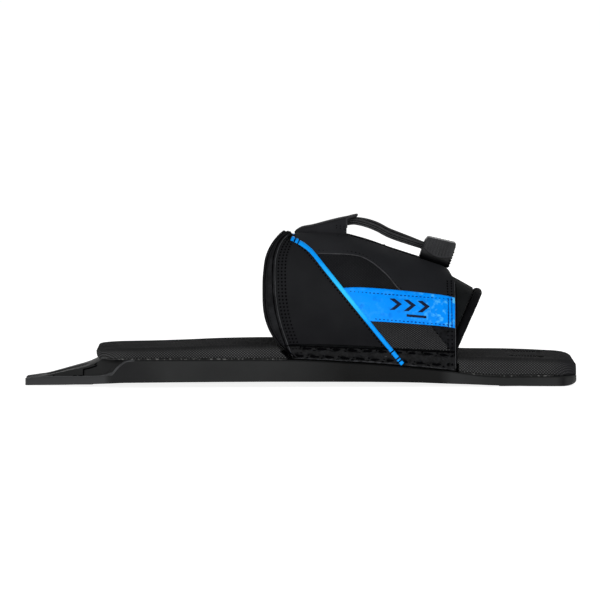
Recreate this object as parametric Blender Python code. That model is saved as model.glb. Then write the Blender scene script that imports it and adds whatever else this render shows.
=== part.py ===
"""Adjustable rear toe plate binding for a slalom water ski.

A ribbed moulded plate carries a foam footbed and a sewn toe upper. The upper is clamped under the
footbed by two strips with screws and nuts, and is drawn shut by a lace with a sliding lock.

Frame: +X towards the toes, +Z up, the near side at -Y. The origin is under the middle of the plate,
on the surface that the plate rests on. All sizes below are in millimetres; meshes are in metres.
"""

from math import asin, acos, atan, cos, pi, radians, sin, sqrt

import bmesh
import bpy
from mathutils import Matrix, Vector

MM = 0.001
GAP = 0.3                      # clearance between pieces that touch

# ---- plate -----------------------------------------------------------------------------------
TOE_X = 175.0                  # toe end of the plate; its tail end is as far the other way
CORNER_R = 14.0                # plan radius of the toe corners
SHELL = 3.0                    # thickness of the plate's deck and skirt
PLATE_HALF_WIDTH = [(-171, 14.5), (-119, 42.5), (-108, 45.3), (-20, 47.5), (40, 50), (100, 52.5),
                    (161, 52.5)]
DECK_Z = [(-125, 17.7), (-109, 17.7), (-60, 17.6), (-4, 17.3), (12, 16.7), (29, 15.7), (51, 14.3),
          (73, 12.2), (90, 10.5), (105, 8.4), (118, 6.8), (130, 6.4), (175, 6.4)]
RAMP_Z = [(-175, 3.8), (-161.6, 6.3), (-152, 8.6), (-142.6, 10.9), (-138, 12.0), (-133, 13.6),
          (-128, 16.0), (-125, 17.7)]
SKIRT_Z = [(-175, 0.0), (-152, 0.9), (-138, 1.6), (-124, 2.5), (-108, 3.3), (-25, 3.7), (38, 3.5),
           (57, 3.3), (77, 2.9), (89, 2.4), (108, 1.7), (128, 0.8), (150, 0.4), (175, 0.2)]
RAIL_Z = [(-175, 4.4), (-161.6, 5.8), (-128, 7.2), (-123, 7.8), (-119, 7.9), (-116.5, 10.5),
          (-113.5, 13.6), (-109, 16.6), (-104, 17.1)]
CHAMFER_Z = [(-175, 4.5), (-161.6, 5.9), (-128, 7.4), (-122.5, 8.6), (-119, 12.5), (-116.5, 15.3),
             (-113.5, 16.6), (-109, 17.5), (-104, 17.7)]
CHAMFER_Y = [(-175, 0.5), (-125, 0.6), (-119, 3.5), (-113.5, 3.2), (-109, 1.6), (-104, 0.8), (175, 0.8)]
FLANK_Y = [(-175, 2.0), (-165, 4.5), (-128, 5.5), (-119, 6.5), (-109, 3.0), (-104, 2.0), (175, 2.0)]
RIB_XS = [-107, -73, -39, -13, 14, 42, 68, 94]
RIB = 2.4                      # rib thickness
SPINE_Y = 12.5                 # inner faces of the two lengthwise ribs
SOLE_TAIL = (-168, -132, 9.5)  # flat sole under the tail: from x, to x, half width
SOLE_TOE = (126, 166, 44)      # flat sole under the toe end
TAIL_SLOT = (-157, -139, 6.6)  # slot for the tail screw: from x, to x, width
TAIL_SEAT = (-162, -134, 15.0, 4.5)   # washer seat around it: from x, to x, width, height of its floor
TOE_SLOT_Y = 24.0
TOE_SLOT = (137, 151, 6.6)
TOE_SEAT = (133, 155, 13.0, 3.8)

# ---- footbed ---------------------------------------------------------------------------------
PAD_X0, PAD_X1 = -129.0, 175.0
PAD_CORNER_R = 16.0
PAD_INSET = 1.6                # how far the footbed's edge stands in from the plate's edge
NOTCH_END_X = 99.4             # the footbed is narrower inside the upper, up to here
NOTCH_START = (-5.5, 17.7, 0.96)      # and from this x at this z, leaning back by this much with height
NOTCH_INSET = 8.7
PAD_TOP = [(-129, 22.0), (-128.6, 23.1), (-127.6, 24.0), (-124, 24.4), (-116, 24.7), (-90, 25.2), (-70, 25.8),
           (-50, 26.5), (-25, 26.8), (0, 26.5), (20, 25.3), (50, 22.9), (80, 20.4), (98, 19.1), (108, 18.7),
           (127, 18.5), (146, 17.9), (159, 17.1), (165, 16.4), (170, 15.2), (173.4, 13.4), (175, 11.2)]
ACCESS_HOLE_R = 7.5            # holes through the footbed over the toe slots

# ---- upper -----------------------------------------------------------------------------------
UPPER_INSET = 1.2              # the upper's outside stands in from the plate's edge
CROWN_Z = [(-24, 99.3), (-9, 99.3), (15, 98.9), (30, 97.4), (37.8, 95.4), (49.2, 91.7), (60, 87.8),
           (71.4, 84.0), (82, 80.4), (92, 76.8), (98.7, 74.0), (116, 66.6)]
SIDE_POWER, CROWN_POWER = 0.8, 0.85
VALLEY_HALF = 15.0             # half width of the lacing valley along the crown
VALLEY_DEEP = [(-10, 8.9), (12, 11.9), (86, 11.9), (98, 3.4), (120, 0.0)]
TOE_TAPER = [(80, 0.0), (98.7, 3.2), (110, 4.8), (116, 5.5)]
SKIN = (1.0, 2.2)              # outer and inner face of the sewn panels, measured inwards
TONGUE_SKIN = (0.8, 2.0)
TONGUE_X = (-5, 88)
BAND_SKIN = (0.3, 2.4)
STRIPE_SKIN = (0.0, 0.7)
LINER_SKIN = (2.7, 5.9)
BINDING_SKIN = (0.6, 6.2)
BINDING_WIDE = 1.2
FLANGE_THICK = 2.0
FLANGE_REACH = 18.0            # how far the liner's flange reaches in from the plate's edge
TOE_EDGE_X = 98.4
LACE_EDGE_Y = 14.5             # edge of the vamp beside the lacing valley
ARCH_ANGLES = (84, 74, 64, 54, 45, 36, 28, 20, 15, 11.4, 8, 4)   # degrees down from the crown at one side
COLLAR_R = 2.9
STRIPE = [(-5.4, 94.6), (-0.6, 92.1), (3.2, 89.7), (6.4, 87.2), (10.8, 82.3), (36, 50.7), (61, 19.3),
          (65.2, 14.2)]
STRIPE_WIDE = 3.0
SEAM = [(33.3, 83.8), (44.1, 80.2), (54.9, 71.6), (63.6, 61.6)]    # vamp edge above the mesh
HEM_TOP = [(-9.5, 26.9), (98.4, 22.4)]

# ---- clamping --------------------------------------------------------------------------------
SCREW_XS = [0.5, 28, 55, 81]
SCREW_INSET = 13.0             # screw axes stand in from the plate's edge
SCREW_R, SCREW_HOLE_R, HEAD_R, HEAD_HIGH = 1.9, 2.25, 3.4, 1.4
STRIP = (-5.0, 88.0, 17.2, 8.8)       # from x, to x, and its two edges measured in from the plate's edge
STRIP_THICK = 1.2
NUT_R, NUT_HIGH = 4.0, 2.4

# ---- lace and lock ---------------------------------------------------------------------------
LACE_R = 2.0
LOOP_XS = [74, 52, 30]
LOOP_Y, LOOP_LONG, LOOP_IN_R, LOOP_OUT_R = 9.0, 6.0, 2.6, 3.3
LOOP_DROP, LOOP_FOOT_DROP = 5.9, 5.9  # middle of a loop and its feet, below the crown line
LACE_SLOPE = radians(20.0)     # the straight stretch of lace that the lock slides along falls this steeply
LOCK_AT = (88.4, 0.0, 84.2)    # middle of the lock
KEEPER_X0, KEEPER_X1, KEEPER_TIP_X = -2.4, 30.2, 37.0
KEEPER_TOP = [(-2.4, 97.4), (1.8, 99.8), (8.4, 101.0), (17.3, 103.3), (26.2, 105.4), (32, 106.5),
              (37, 107.3)]
KEEPER_LOW = [(-2.4, 94.0), (12, 93.4), (17, 95.0), (22, 97.6), (30.2, 100.0), (37, 100.0)]
KEEPER_HALF = [(-2.4, 9.0), (6, 12.0), (37, 12.0)]
KEEPER_THICK = 1.3


# ---- small helpers ---------------------------------------------------------------------------
def value(knots, x):
    """Smooth curve through the knots, flat beyond its ends and without overshoot."""
    if x <= knots[0][0]:
        return knots[0][1]
    if x >= knots[-1][0]:
        return knots[-1][1]
    slopes = [(b[1] - a[1]) / (b[0] - a[0]) for a, b in zip(knots, knots[1:])]
    i = max(k for k in range(len(slopes)) if knots[k][0] <= x)

    def tangent(k):
        if k == 0 or k == len(slopes):
            return slopes[min(k, len(slopes) - 1)]
        before, after = slopes[k - 1], slopes[k]
        return 0.0 if before * after <= 0 else 2 * before * after / (before + after)

    (x0, v0), (x1, v1) = knots[i], knots[i + 1]
    wide = x1 - x0
    t = (x - x0) / wide
    return (v0 * (2 * t**3 - 3 * t**2 + 1) + v1 * (3 * t**2 - 2 * t**3)
            + tangent(i) * wide * (t**3 - 2 * t**2 + t) + tangent(i + 1) * wide * (t**3 - t**2))


def linear(knots, x):
    """Straight interpolation between knots, flat beyond the ends."""
    for (x0, v0), (x1, v1) in zip(knots, knots[1:]):
        if x <= x1:
            return v0 + (v1 - v0) * max(0.0, (x - x0) / (x1 - x0))
    return knots[-1][1]


def along(points, t):
    """The point at share t of a polyline's length."""
    runs = [sqrt(sum((q - p) ** 2 for p, q in zip(a, b))) for a, b in zip(points, points[1:])]
    left = t * sum(runs)
    for a, b, run in zip(points, points[1:], runs):
        if left <= run:
            return tuple(p + (q - p) * left / run for p, q in zip(a, b))
        left -= run
    return points[-1]


def spread(low, high, count):
    return [low + (high - low) * i / (count - 1) for i in range(count)]


def clear_scene():
    for thing in list(bpy.data.objects):
        bpy.data.objects.remove(thing, do_unlink=True)


def material(name, color, roughness, metallic=0.0):
    made = bpy.data.materials.new(name)
    made.use_nodes = True
    shader = made.node_tree.nodes["Principled BSDF"]
    shader.inputs["Base Color"].default_value = (*color, 1.0)
    shader.inputs["Roughness"].default_value = roughness
    shader.inputs["Metallic"].default_value = metallic
    return made


def add_object(name, data, surface):
    thing = bpy.data.objects.new(name, data)
    bpy.context.scene.collection.objects.link(thing)
    if surface:
        data.materials.append(surface)
    return thing


def outward_mesh(name, points, faces):
    """A mesh from points in millimetres, with its faces turned outwards."""
    bm = bmesh.new()
    verts = [bm.verts.new(Vector(p) * MM) for p in points]
    for face in faces:
        bm.faces.new([verts[i] for i in face])
    bmesh.ops.recalc_face_normals(bm, faces=bm.faces)
    mesh = bpy.data.meshes.new(name)
    bm.to_mesh(mesh)
    bm.free()
    return mesh


def solid(name, points, faces, surface=None, smooth=40):
    """A closed mesh object from points in millimetres."""
    mesh = outward_mesh(name, points, faces)
    mesh.shade_smooth()
    mesh.set_sharp_from_angle(angle=radians(smooth))
    return add_object(name, mesh, surface)


def ring_faces(rings, per_ring, first=0, closed=True):
    """Side faces between neighbouring rings of points, with a cap at each end."""
    faces = []
    for r in range(rings - 1):
        for k in range(per_ring if closed else per_ring - 1):
            a, b = first + r * per_ring + k, first + r * per_ring + (k + 1) % per_ring
            faces.append((a, b, b + per_ring, a + per_ring))
    faces.append(tuple(first + k for k in range(per_ring)))
    faces.append(tuple(first + (rings - 1) * per_ring + k for k in range(per_ring)))
    return faces


def loft(name, rings, surface=None, smooth=40):
    points = [p for ring in rings for p in ring]
    return solid(name, points, ring_faces(len(rings), len(rings[0])), surface, smooth)


def loft_x(name, xs, section, surface=None):
    """A solid whose cross-section at each x is the polygon section(x) of (y, z) points."""
    return loft(name, [[(x, y, z) for y, z in section(x)] for x in xs], surface)


def joined(name, groups):
    """One guide mesh made of several separate closed shapes, each a list of rings."""
    points, faces = [], []
    for rings in groups:
        faces += ring_faces(len(rings), len(rings[0]), len(points))
        points += [p for ring in rings for p in ring]
    guide = add_object(name, outward_mesh(name, points, faces), None)
    guide.hide_render = True
    guide.display_type = "WIRE"
    return guide


def boolean(thing, guide, operation):
    step = thing.modifiers.new(guide.name, "BOOLEAN")
    step.object = guide
    step.operation = operation
    step.solver = "EXACT"


def sheet(name, rows, cols, outer, inner, surface=None, smooth=40):
    """A thick skin: outer(i, j) and inner(i, j) give its two faces on a grid of rows by cols points."""
    grid = rows * cols
    points = [outer(i, j) for i in range(rows) for j in range(cols)]
    points += [inner(i, j) for i in range(rows) for j in range(cols)]
    faces = []
    for i in range(rows - 1):
        for j in range(cols - 1):
            a = i * cols + j
            faces.append((a, a + 1, a + cols + 1, a + cols))
            faces.append((grid + a, grid + a + cols, grid + a + cols + 1, grid + a + 1))
    rim = [j for j in range(cols - 1)]
    rim += [i * cols + cols - 1 for i in range(rows - 1)]
    rim += [(rows - 1) * cols + j for j in range(cols - 1, 0, -1)]
    rim += [i * cols for i in range(rows - 1, 0, -1)]
    for a, b in zip(rim, rim[1:] + rim[:1]):
        faces.append((a, b, grid + b, grid + a))
    return solid(name, points, faces, surface, smooth)


def disc_ring(x, y, z, radius, sides, tilt=0.0, lift=0.0):
    """A ring of points around an axis that leans by tilt in the XZ plane, lift along that axis."""
    turn = Matrix.Rotation(tilt, 3, "Y")
    ring = []
    for k in range(sides):
        t = 2 * pi * k / sides
        ring.append(tuple(Vector((x, y, z)) + turn @ Vector((radius * cos(t), radius * sin(t), lift))))
    return ring


def slot_ring(x0, x1, y, wide, z, sides=6):
    """The outline of a slot with round ends that runs from x0 to x1."""
    r = wide / 2
    right = [(x1 - r + r * sin(pi * k / sides), y - r * cos(pi * k / sides), z) for k in range(sides + 1)]
    left = [(x0 + r - r * sin(pi * k / sides), y + r * cos(pi * k / sides), z) for k in range(sides + 1)]
    return right + left


def box_rings(x0, x1, y0, y1, z0, z1):
    return [[(x, y0, z0), (x, y1, z0), (x, y1, z1), (x, y0, z1)] for x in (x0, x1)]


# ---- shared surfaces -------------------------------------------------------------------------
def deck(x):
    return value(DECK_Z, x)


def deck_tilt(x):
    return -atan((deck(x + 2) - deck(x - 2)) / 4)


def plate_half(x):
    wide = linear(PLATE_HALF_WIDTH, x)
    if x > TOE_X - CORNER_R:
        wide -= CORNER_R - sqrt(max(0.0, CORNER_R**2 - (x - TOE_X + CORNER_R) ** 2))
    if x < -171:
        wide -= 4 - sqrt(max(0.0, 16 - (x + 171) ** 2))
    return wide


def pad_top(x):
    return value(PAD_TOP, x)


def crown(x):
    return value(CROWN_Z, x)


def rear_x(h):
    """The rear edge of the upper bulges backwards halfway up; h is the share of the height."""
    low, high = 19.2 * abs((0.52 - h) / 0.52) ** 2.6, 14.5 * abs((h - 0.52) / 0.48) ** 3.5
    return -23.5 + (low if h < 0.52 else high)


def collar_x(h):
    """The toe opening leans forwards, so its edge is furthest forward at the top."""
    return 92.4 + 21.4 * h**0.95


def both_sides(degrees):
    """Angles in radians from one side over the crown to the other."""
    return [radians(a) for a in (*degrees, 0, *(-d for d in reversed(degrees)))]


def height_share(angle):
    return cos(angle) ** CROWN_POWER


def arch(x, angle, inset, valley=True, taper=False):
    """(y, z) on the upper's cross-section at x; angle is 0 at the crown and +-90 degrees at the deck."""
    inset += value(TOE_TAPER, x) if taper else 0.0
    base = deck(x) + GAP
    half = plate_half(x) - UPPER_INSET - inset
    side = 1 if angle >= 0 else -1
    y = side * half * abs(sin(angle)) ** SIDE_POWER
    z = base + (crown(x) - inset - base) * max(0.0, cos(angle)) ** CROWN_POWER
    if valley and abs(y) < VALLEY_HALF:
        z -= value(VALLEY_DEEP, x) * (1 - abs(y / VALLEY_HALF) ** 3)
    return y, z


def angle_at_height(x, z):
    base = deck(x) + GAP
    share = min(1.0, max(0.0, (z - base) / (crown(x) - base)))
    return acos(share ** (1 / CROWN_POWER))


def angle_at_y(x, y):
    return asin((y / (plate_half(x) - UPPER_INSET)) ** (1 / SIDE_POWER))


def panel(name, side, skin, rows, cols, lower, upper, surface, on_angle=False):
    """A sewn panel between two edges given in side view as (x, z) polylines; one edge may be (x, angle)."""
    def spot(i, j, inset):
        (xa, za), (xb, zb) = along(lower, i / (rows - 1)), along(upper, i / (rows - 1))
        a, b = angle_at_height(xa, za), zb if on_angle else angle_at_height(xb, zb)
        t = j / (cols - 1)
        x = xa + (xb - xa) * t
        y, z = arch(x, a + (b - a) * t, inset, valley=False)
        return x, side * y, z

    outer, inner = skin
    return sheet(name, rows, cols, lambda i, j: spot(i, j, outer), lambda i, j: spot(i, j, inner), surface)


def shifted(points, dx, dz=0.0):
    return [(x + dx, z + dz) for x, z in points]


# ---- plate and footbed -----------------------------------------------------------------------
def plate_section(x):
    half, low = plate_half(x), value(SKIRT_Z, x)
    top = deck(x) if x > -125 else value(RAMP_Z, x)
    rail = value(RAIL_Z, x) if x < -104 else top - 0.7
    ledge = value(CHAMFER_Z, x) if x < -104 else top
    edge = half - value(CHAMFER_Y, x)
    shoulder = half - value(FLANK_Y, x)
    foot = edge - 0.35 * (edge - shoulder)
    foot_z = ledge if x < -109 else max(ledge, top)
    side = [(half, low), (half, rail), (edge, ledge), (foot, foot_z), (shoulder, top)]
    return side + [(-y, z) for y, z in reversed(side)]


def pocket_rings(x0, x1, y_low, y_high):
    rings = []
    for x in spread(x0, x1, 3):
        a, b, top = y_low(x), y_high(x), deck(x) - SHELL
        rings.append([(x, a, -5), (x, b, -5), (x, b, top), (x, a, top)])
    return rings


def screw_places():
    for side in (-1, 1):
        for x in SCREW_XS:
            yield side, x, side * (plate_half(x) - SCREW_INSET)


def screw_clearance():
    groups = []
    for side, x, y in screw_places():
        z, tilt = deck(x), deck_tilt(x)
        groups.append([disc_ring(x, y, z, SCREW_HOLE_R, 10, tilt, lift) for lift in (-9.0, 4.6)])
    return joined("screw_clearance_guide", groups)


def base_plate(surface):
    xs = [-175, -174, -172.5, -170, -165, -158, -150, -142, -138, -134, -130, -127, -125, -123, -121, -119,
          -117.5, -116, -114, -112, -110, -108, -106, -104, -80, -50, -20, -4, 12, 22, 32, 42, 54, 66, 76,
          86, 96, 104, 112, 120, 130, 145, 161, 164, 167, 170, 172.5, 174.2, 175]
    plate = loft_x("base_plate", xs, plate_section, surface)
    soles = [box_rings(x0, x1, -half, half, 0, 3.2) for x0, x1, half in (SOLE_TAIL, SOLE_TOE)]
    boolean(plate, joined("sole_guide", soles), "UNION")
    pockets = []
    for x0, x1 in zip(RIB_XS, RIB_XS[1:]):
        reach = (x0 + RIB / 2, x1 - RIB / 2)
        pockets.append(pocket_rings(*reach, lambda x: -SPINE_Y, lambda x: SPINE_Y))
        for side in (-1, 1):
            inner, outer = side * (SPINE_Y + RIB), lambda x, s=side: s * (plate_half(x) - SHELL)
            pockets.append(pocket_rings(*reach, lambda x, y=inner: y, outer))
    boolean(plate, joined("pocket_guide", pockets), "DIFFERENCE")
    seats = [[slot_ring(TAIL_SEAT[0], TAIL_SEAT[1], 0, TAIL_SEAT[2], z) for z in (TAIL_SEAT[3], 30)]]
    slots = [[slot_ring(TAIL_SLOT[0], TAIL_SLOT[1], 0, TAIL_SLOT[2], z) for z in (-5, 12)]]
    for y in (-TOE_SLOT_Y, TOE_SLOT_Y):
        seats.append([slot_ring(TOE_SEAT[0], TOE_SEAT[1], y, TOE_SEAT[2], z) for z in (TOE_SEAT[3], 30)])
        slots.append([slot_ring(TOE_SLOT[0], TOE_SLOT[1], y, TOE_SLOT[2], z) for z in (-5, 12)])
    boolean(plate, joined("washer_seat_guide", seats), "DIFFERENCE")
    boolean(plate, joined("slot_guide", slots), "DIFFERENCE")
    return plate


def pad_half(x):
    wide = linear(PLATE_HALF_WIDTH, max(x, -104)) - PAD_INSET
    if x > PAD_X1 - PAD_CORNER_R:
        wide -= PAD_CORNER_R - sqrt(max(0.0, PAD_CORNER_R**2 - (x - PAD_X1 + PAD_CORNER_R) ** 2))
    if x < PAD_X0 + PAD_CORNER_R:
        wide -= PAD_CORNER_R - sqrt(max(0.0, PAD_CORNER_R**2 - (PAD_X0 + PAD_CORNER_R - x) ** 2))
    return wide


def pad_section(x):
    half, top = pad_half(x), pad_top(x)
    low = deck(x) + GAP + max(0.0, -126.5 - x) * 0.6
    high = top - low
    side = [(half - 1.0, low), (half - 0.2, low + 0.12 * high), (half, low + 0.3 * high),
            (half, top - 0.34 * high), (half - 0.8, top - 0.14 * high), (half - 2.6, top - 0.03 * high),
            (half - 6.0, top)]
    return side + [(-y, z) for y, z in reversed(side)]


def notch_rings(side, reach, x_end, top, taper):
    """A guide for the notch at one side, reach inwards from the plate's edge, with a leaning rear face."""
    x0, z0, lean = NOTCH_START
    x0 -= reach * 0.1
    rings = [[]]
    for out, z in ((0, 0.0), (1, 0.0), (1, top(x0)), (0, top(x0))):
        x = x0 - lean * (z - z0)
        rings[0].append((x, side * (plate_half(x) + 4 if out else plate_half(x) - reach), z))
    for x in (14, 28, 42, 56, 70, 80, 86, 92, x_end):
        near = side * (plate_half(x) - reach - (value(taper, x) if taper else 0.0))
        far = side * (plate_half(x) + 4)
        rings.append([(x, near, 0), (x, far, 0), (x, far, top(x)), (x, near, top(x))])
    return rings


def footbed(surface):
    xs = [-129, -128.6, -127.8, -126.4, -124, -120, -113, -100, -80, -50, -16, -4, 12, 26, 40, 55, 70,
          85, 98, 112, 130, 146, 159, 163, 167, 170, 172.4, 174.2, 175]
    pad = loft_x("footbed", xs, pad_section, surface)
    notches, recesses = [], []
    for side in (-1, 1):
        notches.append(notch_rings(side, NOTCH_INSET, NOTCH_END_X, lambda x: 35.0, TOE_TAPER))
        recesses.append(notch_rings(side, FLANGE_REACH + 1, NOTCH_END_X + 1, lambda x: deck(x) + 5.9, None))
    boolean(pad, joined("notch_guide", notches), "DIFFERENCE")
    boolean(pad, joined("flange_recess_guide", recesses), "DIFFERENCE")
    x0, x1 = TOE_SEAT[0] - 1, TOE_SEAT[1] + 1
    wide = 2 * ACCESS_HOLE_R
    holes = [[slot_ring(x0, x1, y, wide, z) for z in (0, 40)] for y in (-TOE_SLOT_Y, TOE_SLOT_Y)]
    boolean(pad, joined("access_hole_guide", holes), "DIFFERENCE")
    return pad


# ---- upper -----------------------------------------------------------------------------------
def liner(surface, clearance):
    """The neoprene sock: a flange on the deck at each side and one arch between them."""
    angles = both_sides(ARCH_ANGLES)
    rows, cols = 12, len(angles) + 4

    def spot(i, j, inset, flange_z):
        side = 1 if j < cols / 2 else -1
        at_edge = j in (0, 1, cols - 2, cols - 1)
        angle = side * pi / 2 if at_edge else angles[j - 2]
        h = height_share(angle) if not at_edge else 0.0
        x0, x1 = rear_x(h) + BINDING_WIDE + GAP, collar_x(h) - COLLAR_R - GAP
        x = x0 + (x1 - x0) * i / (rows - 1)
        if at_edge:
            reach = FLANGE_REACH if j in (0, cols - 1) else UPPER_INSET + inset + value(TOE_TAPER, x)
            return x, side * (plate_half(x) - reach), deck(x) + flange_z
        y, z = arch(x, angle, inset, taper=True)
        return x, y, max(z, deck(x) + flange_z + 0.4)

    sock = sheet("liner", rows, cols, lambda i, j: spot(i, j, LINER_SKIN[0], GAP),
                 lambda i, j: spot(i, j, LINER_SKIN[1], GAP + FLANGE_THICK), surface)
    boolean(sock, clearance, "DIFFERENCE")
    return sock


def rear_binding(surface):
    angles = both_sides(ARCH_ANGLES)

    def spot(i, j, inset):
        x = rear_x(height_share(angles[i])) + j * BINDING_WIDE
        y, z = arch(x, angles[i], inset)
        return x, y, z

    return sheet("rear_binding", len(angles), 2, lambda i, j: spot(i, j, BINDING_SKIN[0]),
                 lambda i, j: spot(i, j, BINDING_SKIN[1]), surface)


def tube(name, points, radius, surface, sides=2):
    """A round cord as a poly spline with a bevel and filled ends; points are in millimetres."""
    data = bpy.data.curves.new(name, "CURVE")
    data.dimensions = "3D"
    data.bevel_depth = radius * MM
    data.bevel_resolution = sides
    data.use_fill_caps = True
    spline = data.splines.new("POLY")
    spline.points.add(len(points) - 1)
    for spot, p in zip(spline.points, points):
        spot.co = (*(Vector(p) * MM), 1.0)
    return add_object(name, data, surface)


def smooth_route(points, step):
    """Points about step apart on a smooth curve through the route's own points."""
    places = [Vector(p) for p in points]
    ends = [2 * places[0] - places[1]] + places + [2 * places[-1] - places[-2]]
    fine = []
    for a, b, c, d in zip(ends, ends[1:], ends[2:], ends[3:]):
        for k in range(12):
            t = k / 12
            fine.append(0.5 * (2 * b + (c - a) * t + (2 * a - 5 * b + 4 * c - d) * t * t
                               + (3 * b - a - 3 * c + d) * t**3))
    fine.append(places[-1])
    long = sum((q - p).length for p, q in zip(fine, fine[1:]))
    count = max(2, round(long / step) + 1)
    return [along([tuple(p) for p in fine], i / (count - 1)) for i in range(count)]


def toe_collar(surface):
    """The rolled edge around the toe opening."""
    spots = []
    for angle in [radians(a) for a in range(76, -77, -8)]:
        x = collar_x(height_share(angle))
        y, z = arch(x, angle, (LINER_SKIN[0] + LINER_SKIN[1]) / 2, taper=True)
        spots.append((x, y, z))
    return tube("toe_collar", spots, COLLAR_R, surface)


def tongue(surface):
    angles = both_sides(ARCH_ANGLES[-3:])

    def spot(i, j, inset):
        x = TONGUE_X[0] + (TONGUE_X[1] - TONGUE_X[0]) * i / 9
        y, z = arch(x, angles[j], inset)
        return x, y, z

    return sheet("tongue", 10, len(angles), lambda i, j: spot(i, j, TONGUE_SKIN[0]),
                 lambda i, j: spot(i, j, TONGUE_SKIN[1]), surface)


def rear_edge(z_low, z_high, count):
    """The rear edge of the quarter panel in side view, clear of the binding."""
    spots = []
    for z in spread(z_low, z_high, count):
        share = (z - 17.6) / (CROWN_Z[0][1] - 17.6)
        spots.append((rear_x(share) + BINDING_WIDE + 3 * GAP, z))
    return spots


def hem_line(x, lift=0.0):
    return (x, linear(HEM_TOP, x) + lift)


def stripe_x(z):
    """Where the stripe's centreline is at height z."""
    return linear([(-b, a) for a, b in STRIPE], -z)


def stripe_part(z_low, z_high, shift):
    inside = [p for p in reversed(STRIPE) if z_low < p[1] < z_high]
    return shifted([(stripe_x(z_low), z_low)] + inside + [(stripe_x(z_high), z_high)], shift)


def side_panels(side, looks):
    where = "near" if side < 0 else "far"
    hem_foot = [(x, deck(x) + 2 * GAP) for x in (-2.6, 15, 35, 55, 75, TOE_EDGE_X)]
    panel(f"hem_{where}", side, SKIN, 9, 3, hem_foot, [hem_line(-10.2), hem_line(TOE_EDGE_X)], looks["hem"])
    panel(f"quarter_panel_{where}", side, SKIN, 17, 4, rear_edge(27.4, 95.0, 17),
          stripe_part(25.0, 94.4, -0.2), looks["quarter"])
    cut = stripe_x(84.6)
    lower = list(reversed(stripe_part(84.6, 94.4, 0.2))) + [(cut + 3, 84.8)] + SEAM + [(TOE_EDGE_X, 56.9)]
    upper = [(x, angle_at_y(x, LACE_EDGE_Y)) for x in (-3.5, 20, 45, 70, 92)]
    upper += [(95.5, angle_at_height(95.5, 71.5)), (TOE_EDGE_X, angle_at_height(TOE_EDGE_X, 66))]
    panel(f"vamp_panel_{where}", side, SKIN, 15, 5, lower, upper, looks["vamp"], on_angle=True)
    low_edge = list(reversed(stripe_part(65.0, 83.6, 0.2)))
    high_edge = [(cut + 3.6, 84.1)] + shifted(SEAM[:-1], -0.3, -0.5) + [(62.5, 62.0)]
    panel(f"mesh_upper_{where}", side, SKIN, 7, 4, low_edge, high_edge, looks["mesh"])
    band_left = stripe_part(42.3, 63.2, STRIPE_WIDE * 0.64 + GAP)
    band_right = [(98.2, 37.2), (TOE_EDGE_X, 55.5)]
    panel(f"side_band_{where}", side, BAND_SKIN, 4, 8, band_left, band_right, looks["band"])
    mesh_left = stripe_part(25.2, 41.6, 0.2)
    panel(f"mesh_lower_{where}", side, SKIN, 4, 5, mesh_left, [(97.0, 22.9), (84.0, 36.9)], looks["mesh"])
    panel(f"toe_gusset_{where}", side, SKIN, 4, 3, [(97.5, 22.9), (84.6, 36.8)],
          [(TOE_EDGE_X, 22.9), (98.2, 36.4)], looks["gusset"])
    edge = STRIPE_WIDE * 0.64
    panel(f"side_stripe_{where}", side, STRIPE_SKIN, 14, 2, shifted(STRIPE, -edge, -0.3),
          shifted(STRIPE, edge, 0.3), looks["band"])


# ---- clamping under the footbed --------------------------------------------------------------
def clamp_strip(side, surface, clearance):
    x0, x1, inner, outer = STRIP

    def section(x):
        low = deck(x) + FLANGE_THICK + 2 * GAP
        a, b = side * (plate_half(x) - inner), side * (plate_half(x) - outer)
        return [(a, low), (b, low), (b, low + STRIP_THICK), (a, low + STRIP_THICK)]

    strip = loft_x(f"clamp_strip_{'near' if side < 0 else 'far'}", spread(x0, x1, 9), section, surface)
    boolean(strip, clearance, "DIFFERENCE")


def clamp_screws(surface, nut_surface):
    seat = FLANGE_THICK + STRIP_THICK + 3 * GAP
    for number, (side, x, y) in enumerate(screw_places()):
        where, z, tilt = ("near" if side < 0 else "far"), deck(x), deck_tilt(x)
        count = number % len(SCREW_XS) + 1
        profile = [(SCREW_R, -7.0), (SCREW_R, seat), (HEAD_R, seat), (HEAD_R, seat + 0.7),
                   (HEAD_R * 0.6, seat + HEAD_HIGH)]
        rings = [disc_ring(x, y, z, r, 10, tilt, lift) for r, lift in profile]
        loft(f"clamp_screw_{where}_{count}", rings, surface)
        low, high = -SHELL - GAP - NUT_HIGH, -SHELL - GAP
        outer = [disc_ring(x, y, z, NUT_R, 6, tilt, lift) for lift in (low, high)]
        inner = [disc_ring(x, y, z, SCREW_HOLE_R, 6, tilt, lift) for lift in (high, low)]
        rings = outer + inner
        points = [p for ring in rings for p in ring]
        faces = []
        for r in range(4):
            for k in range(6):
                a, b, n = r * 6 + k, r * 6 + (k + 1) % 6, (r + 1) % 4 * 6
                faces.append((a, b, n + (k + 1) % 6, n + k))
        solid(f"clamp_nut_{where}_{count}", points, faces, nut_surface)


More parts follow.
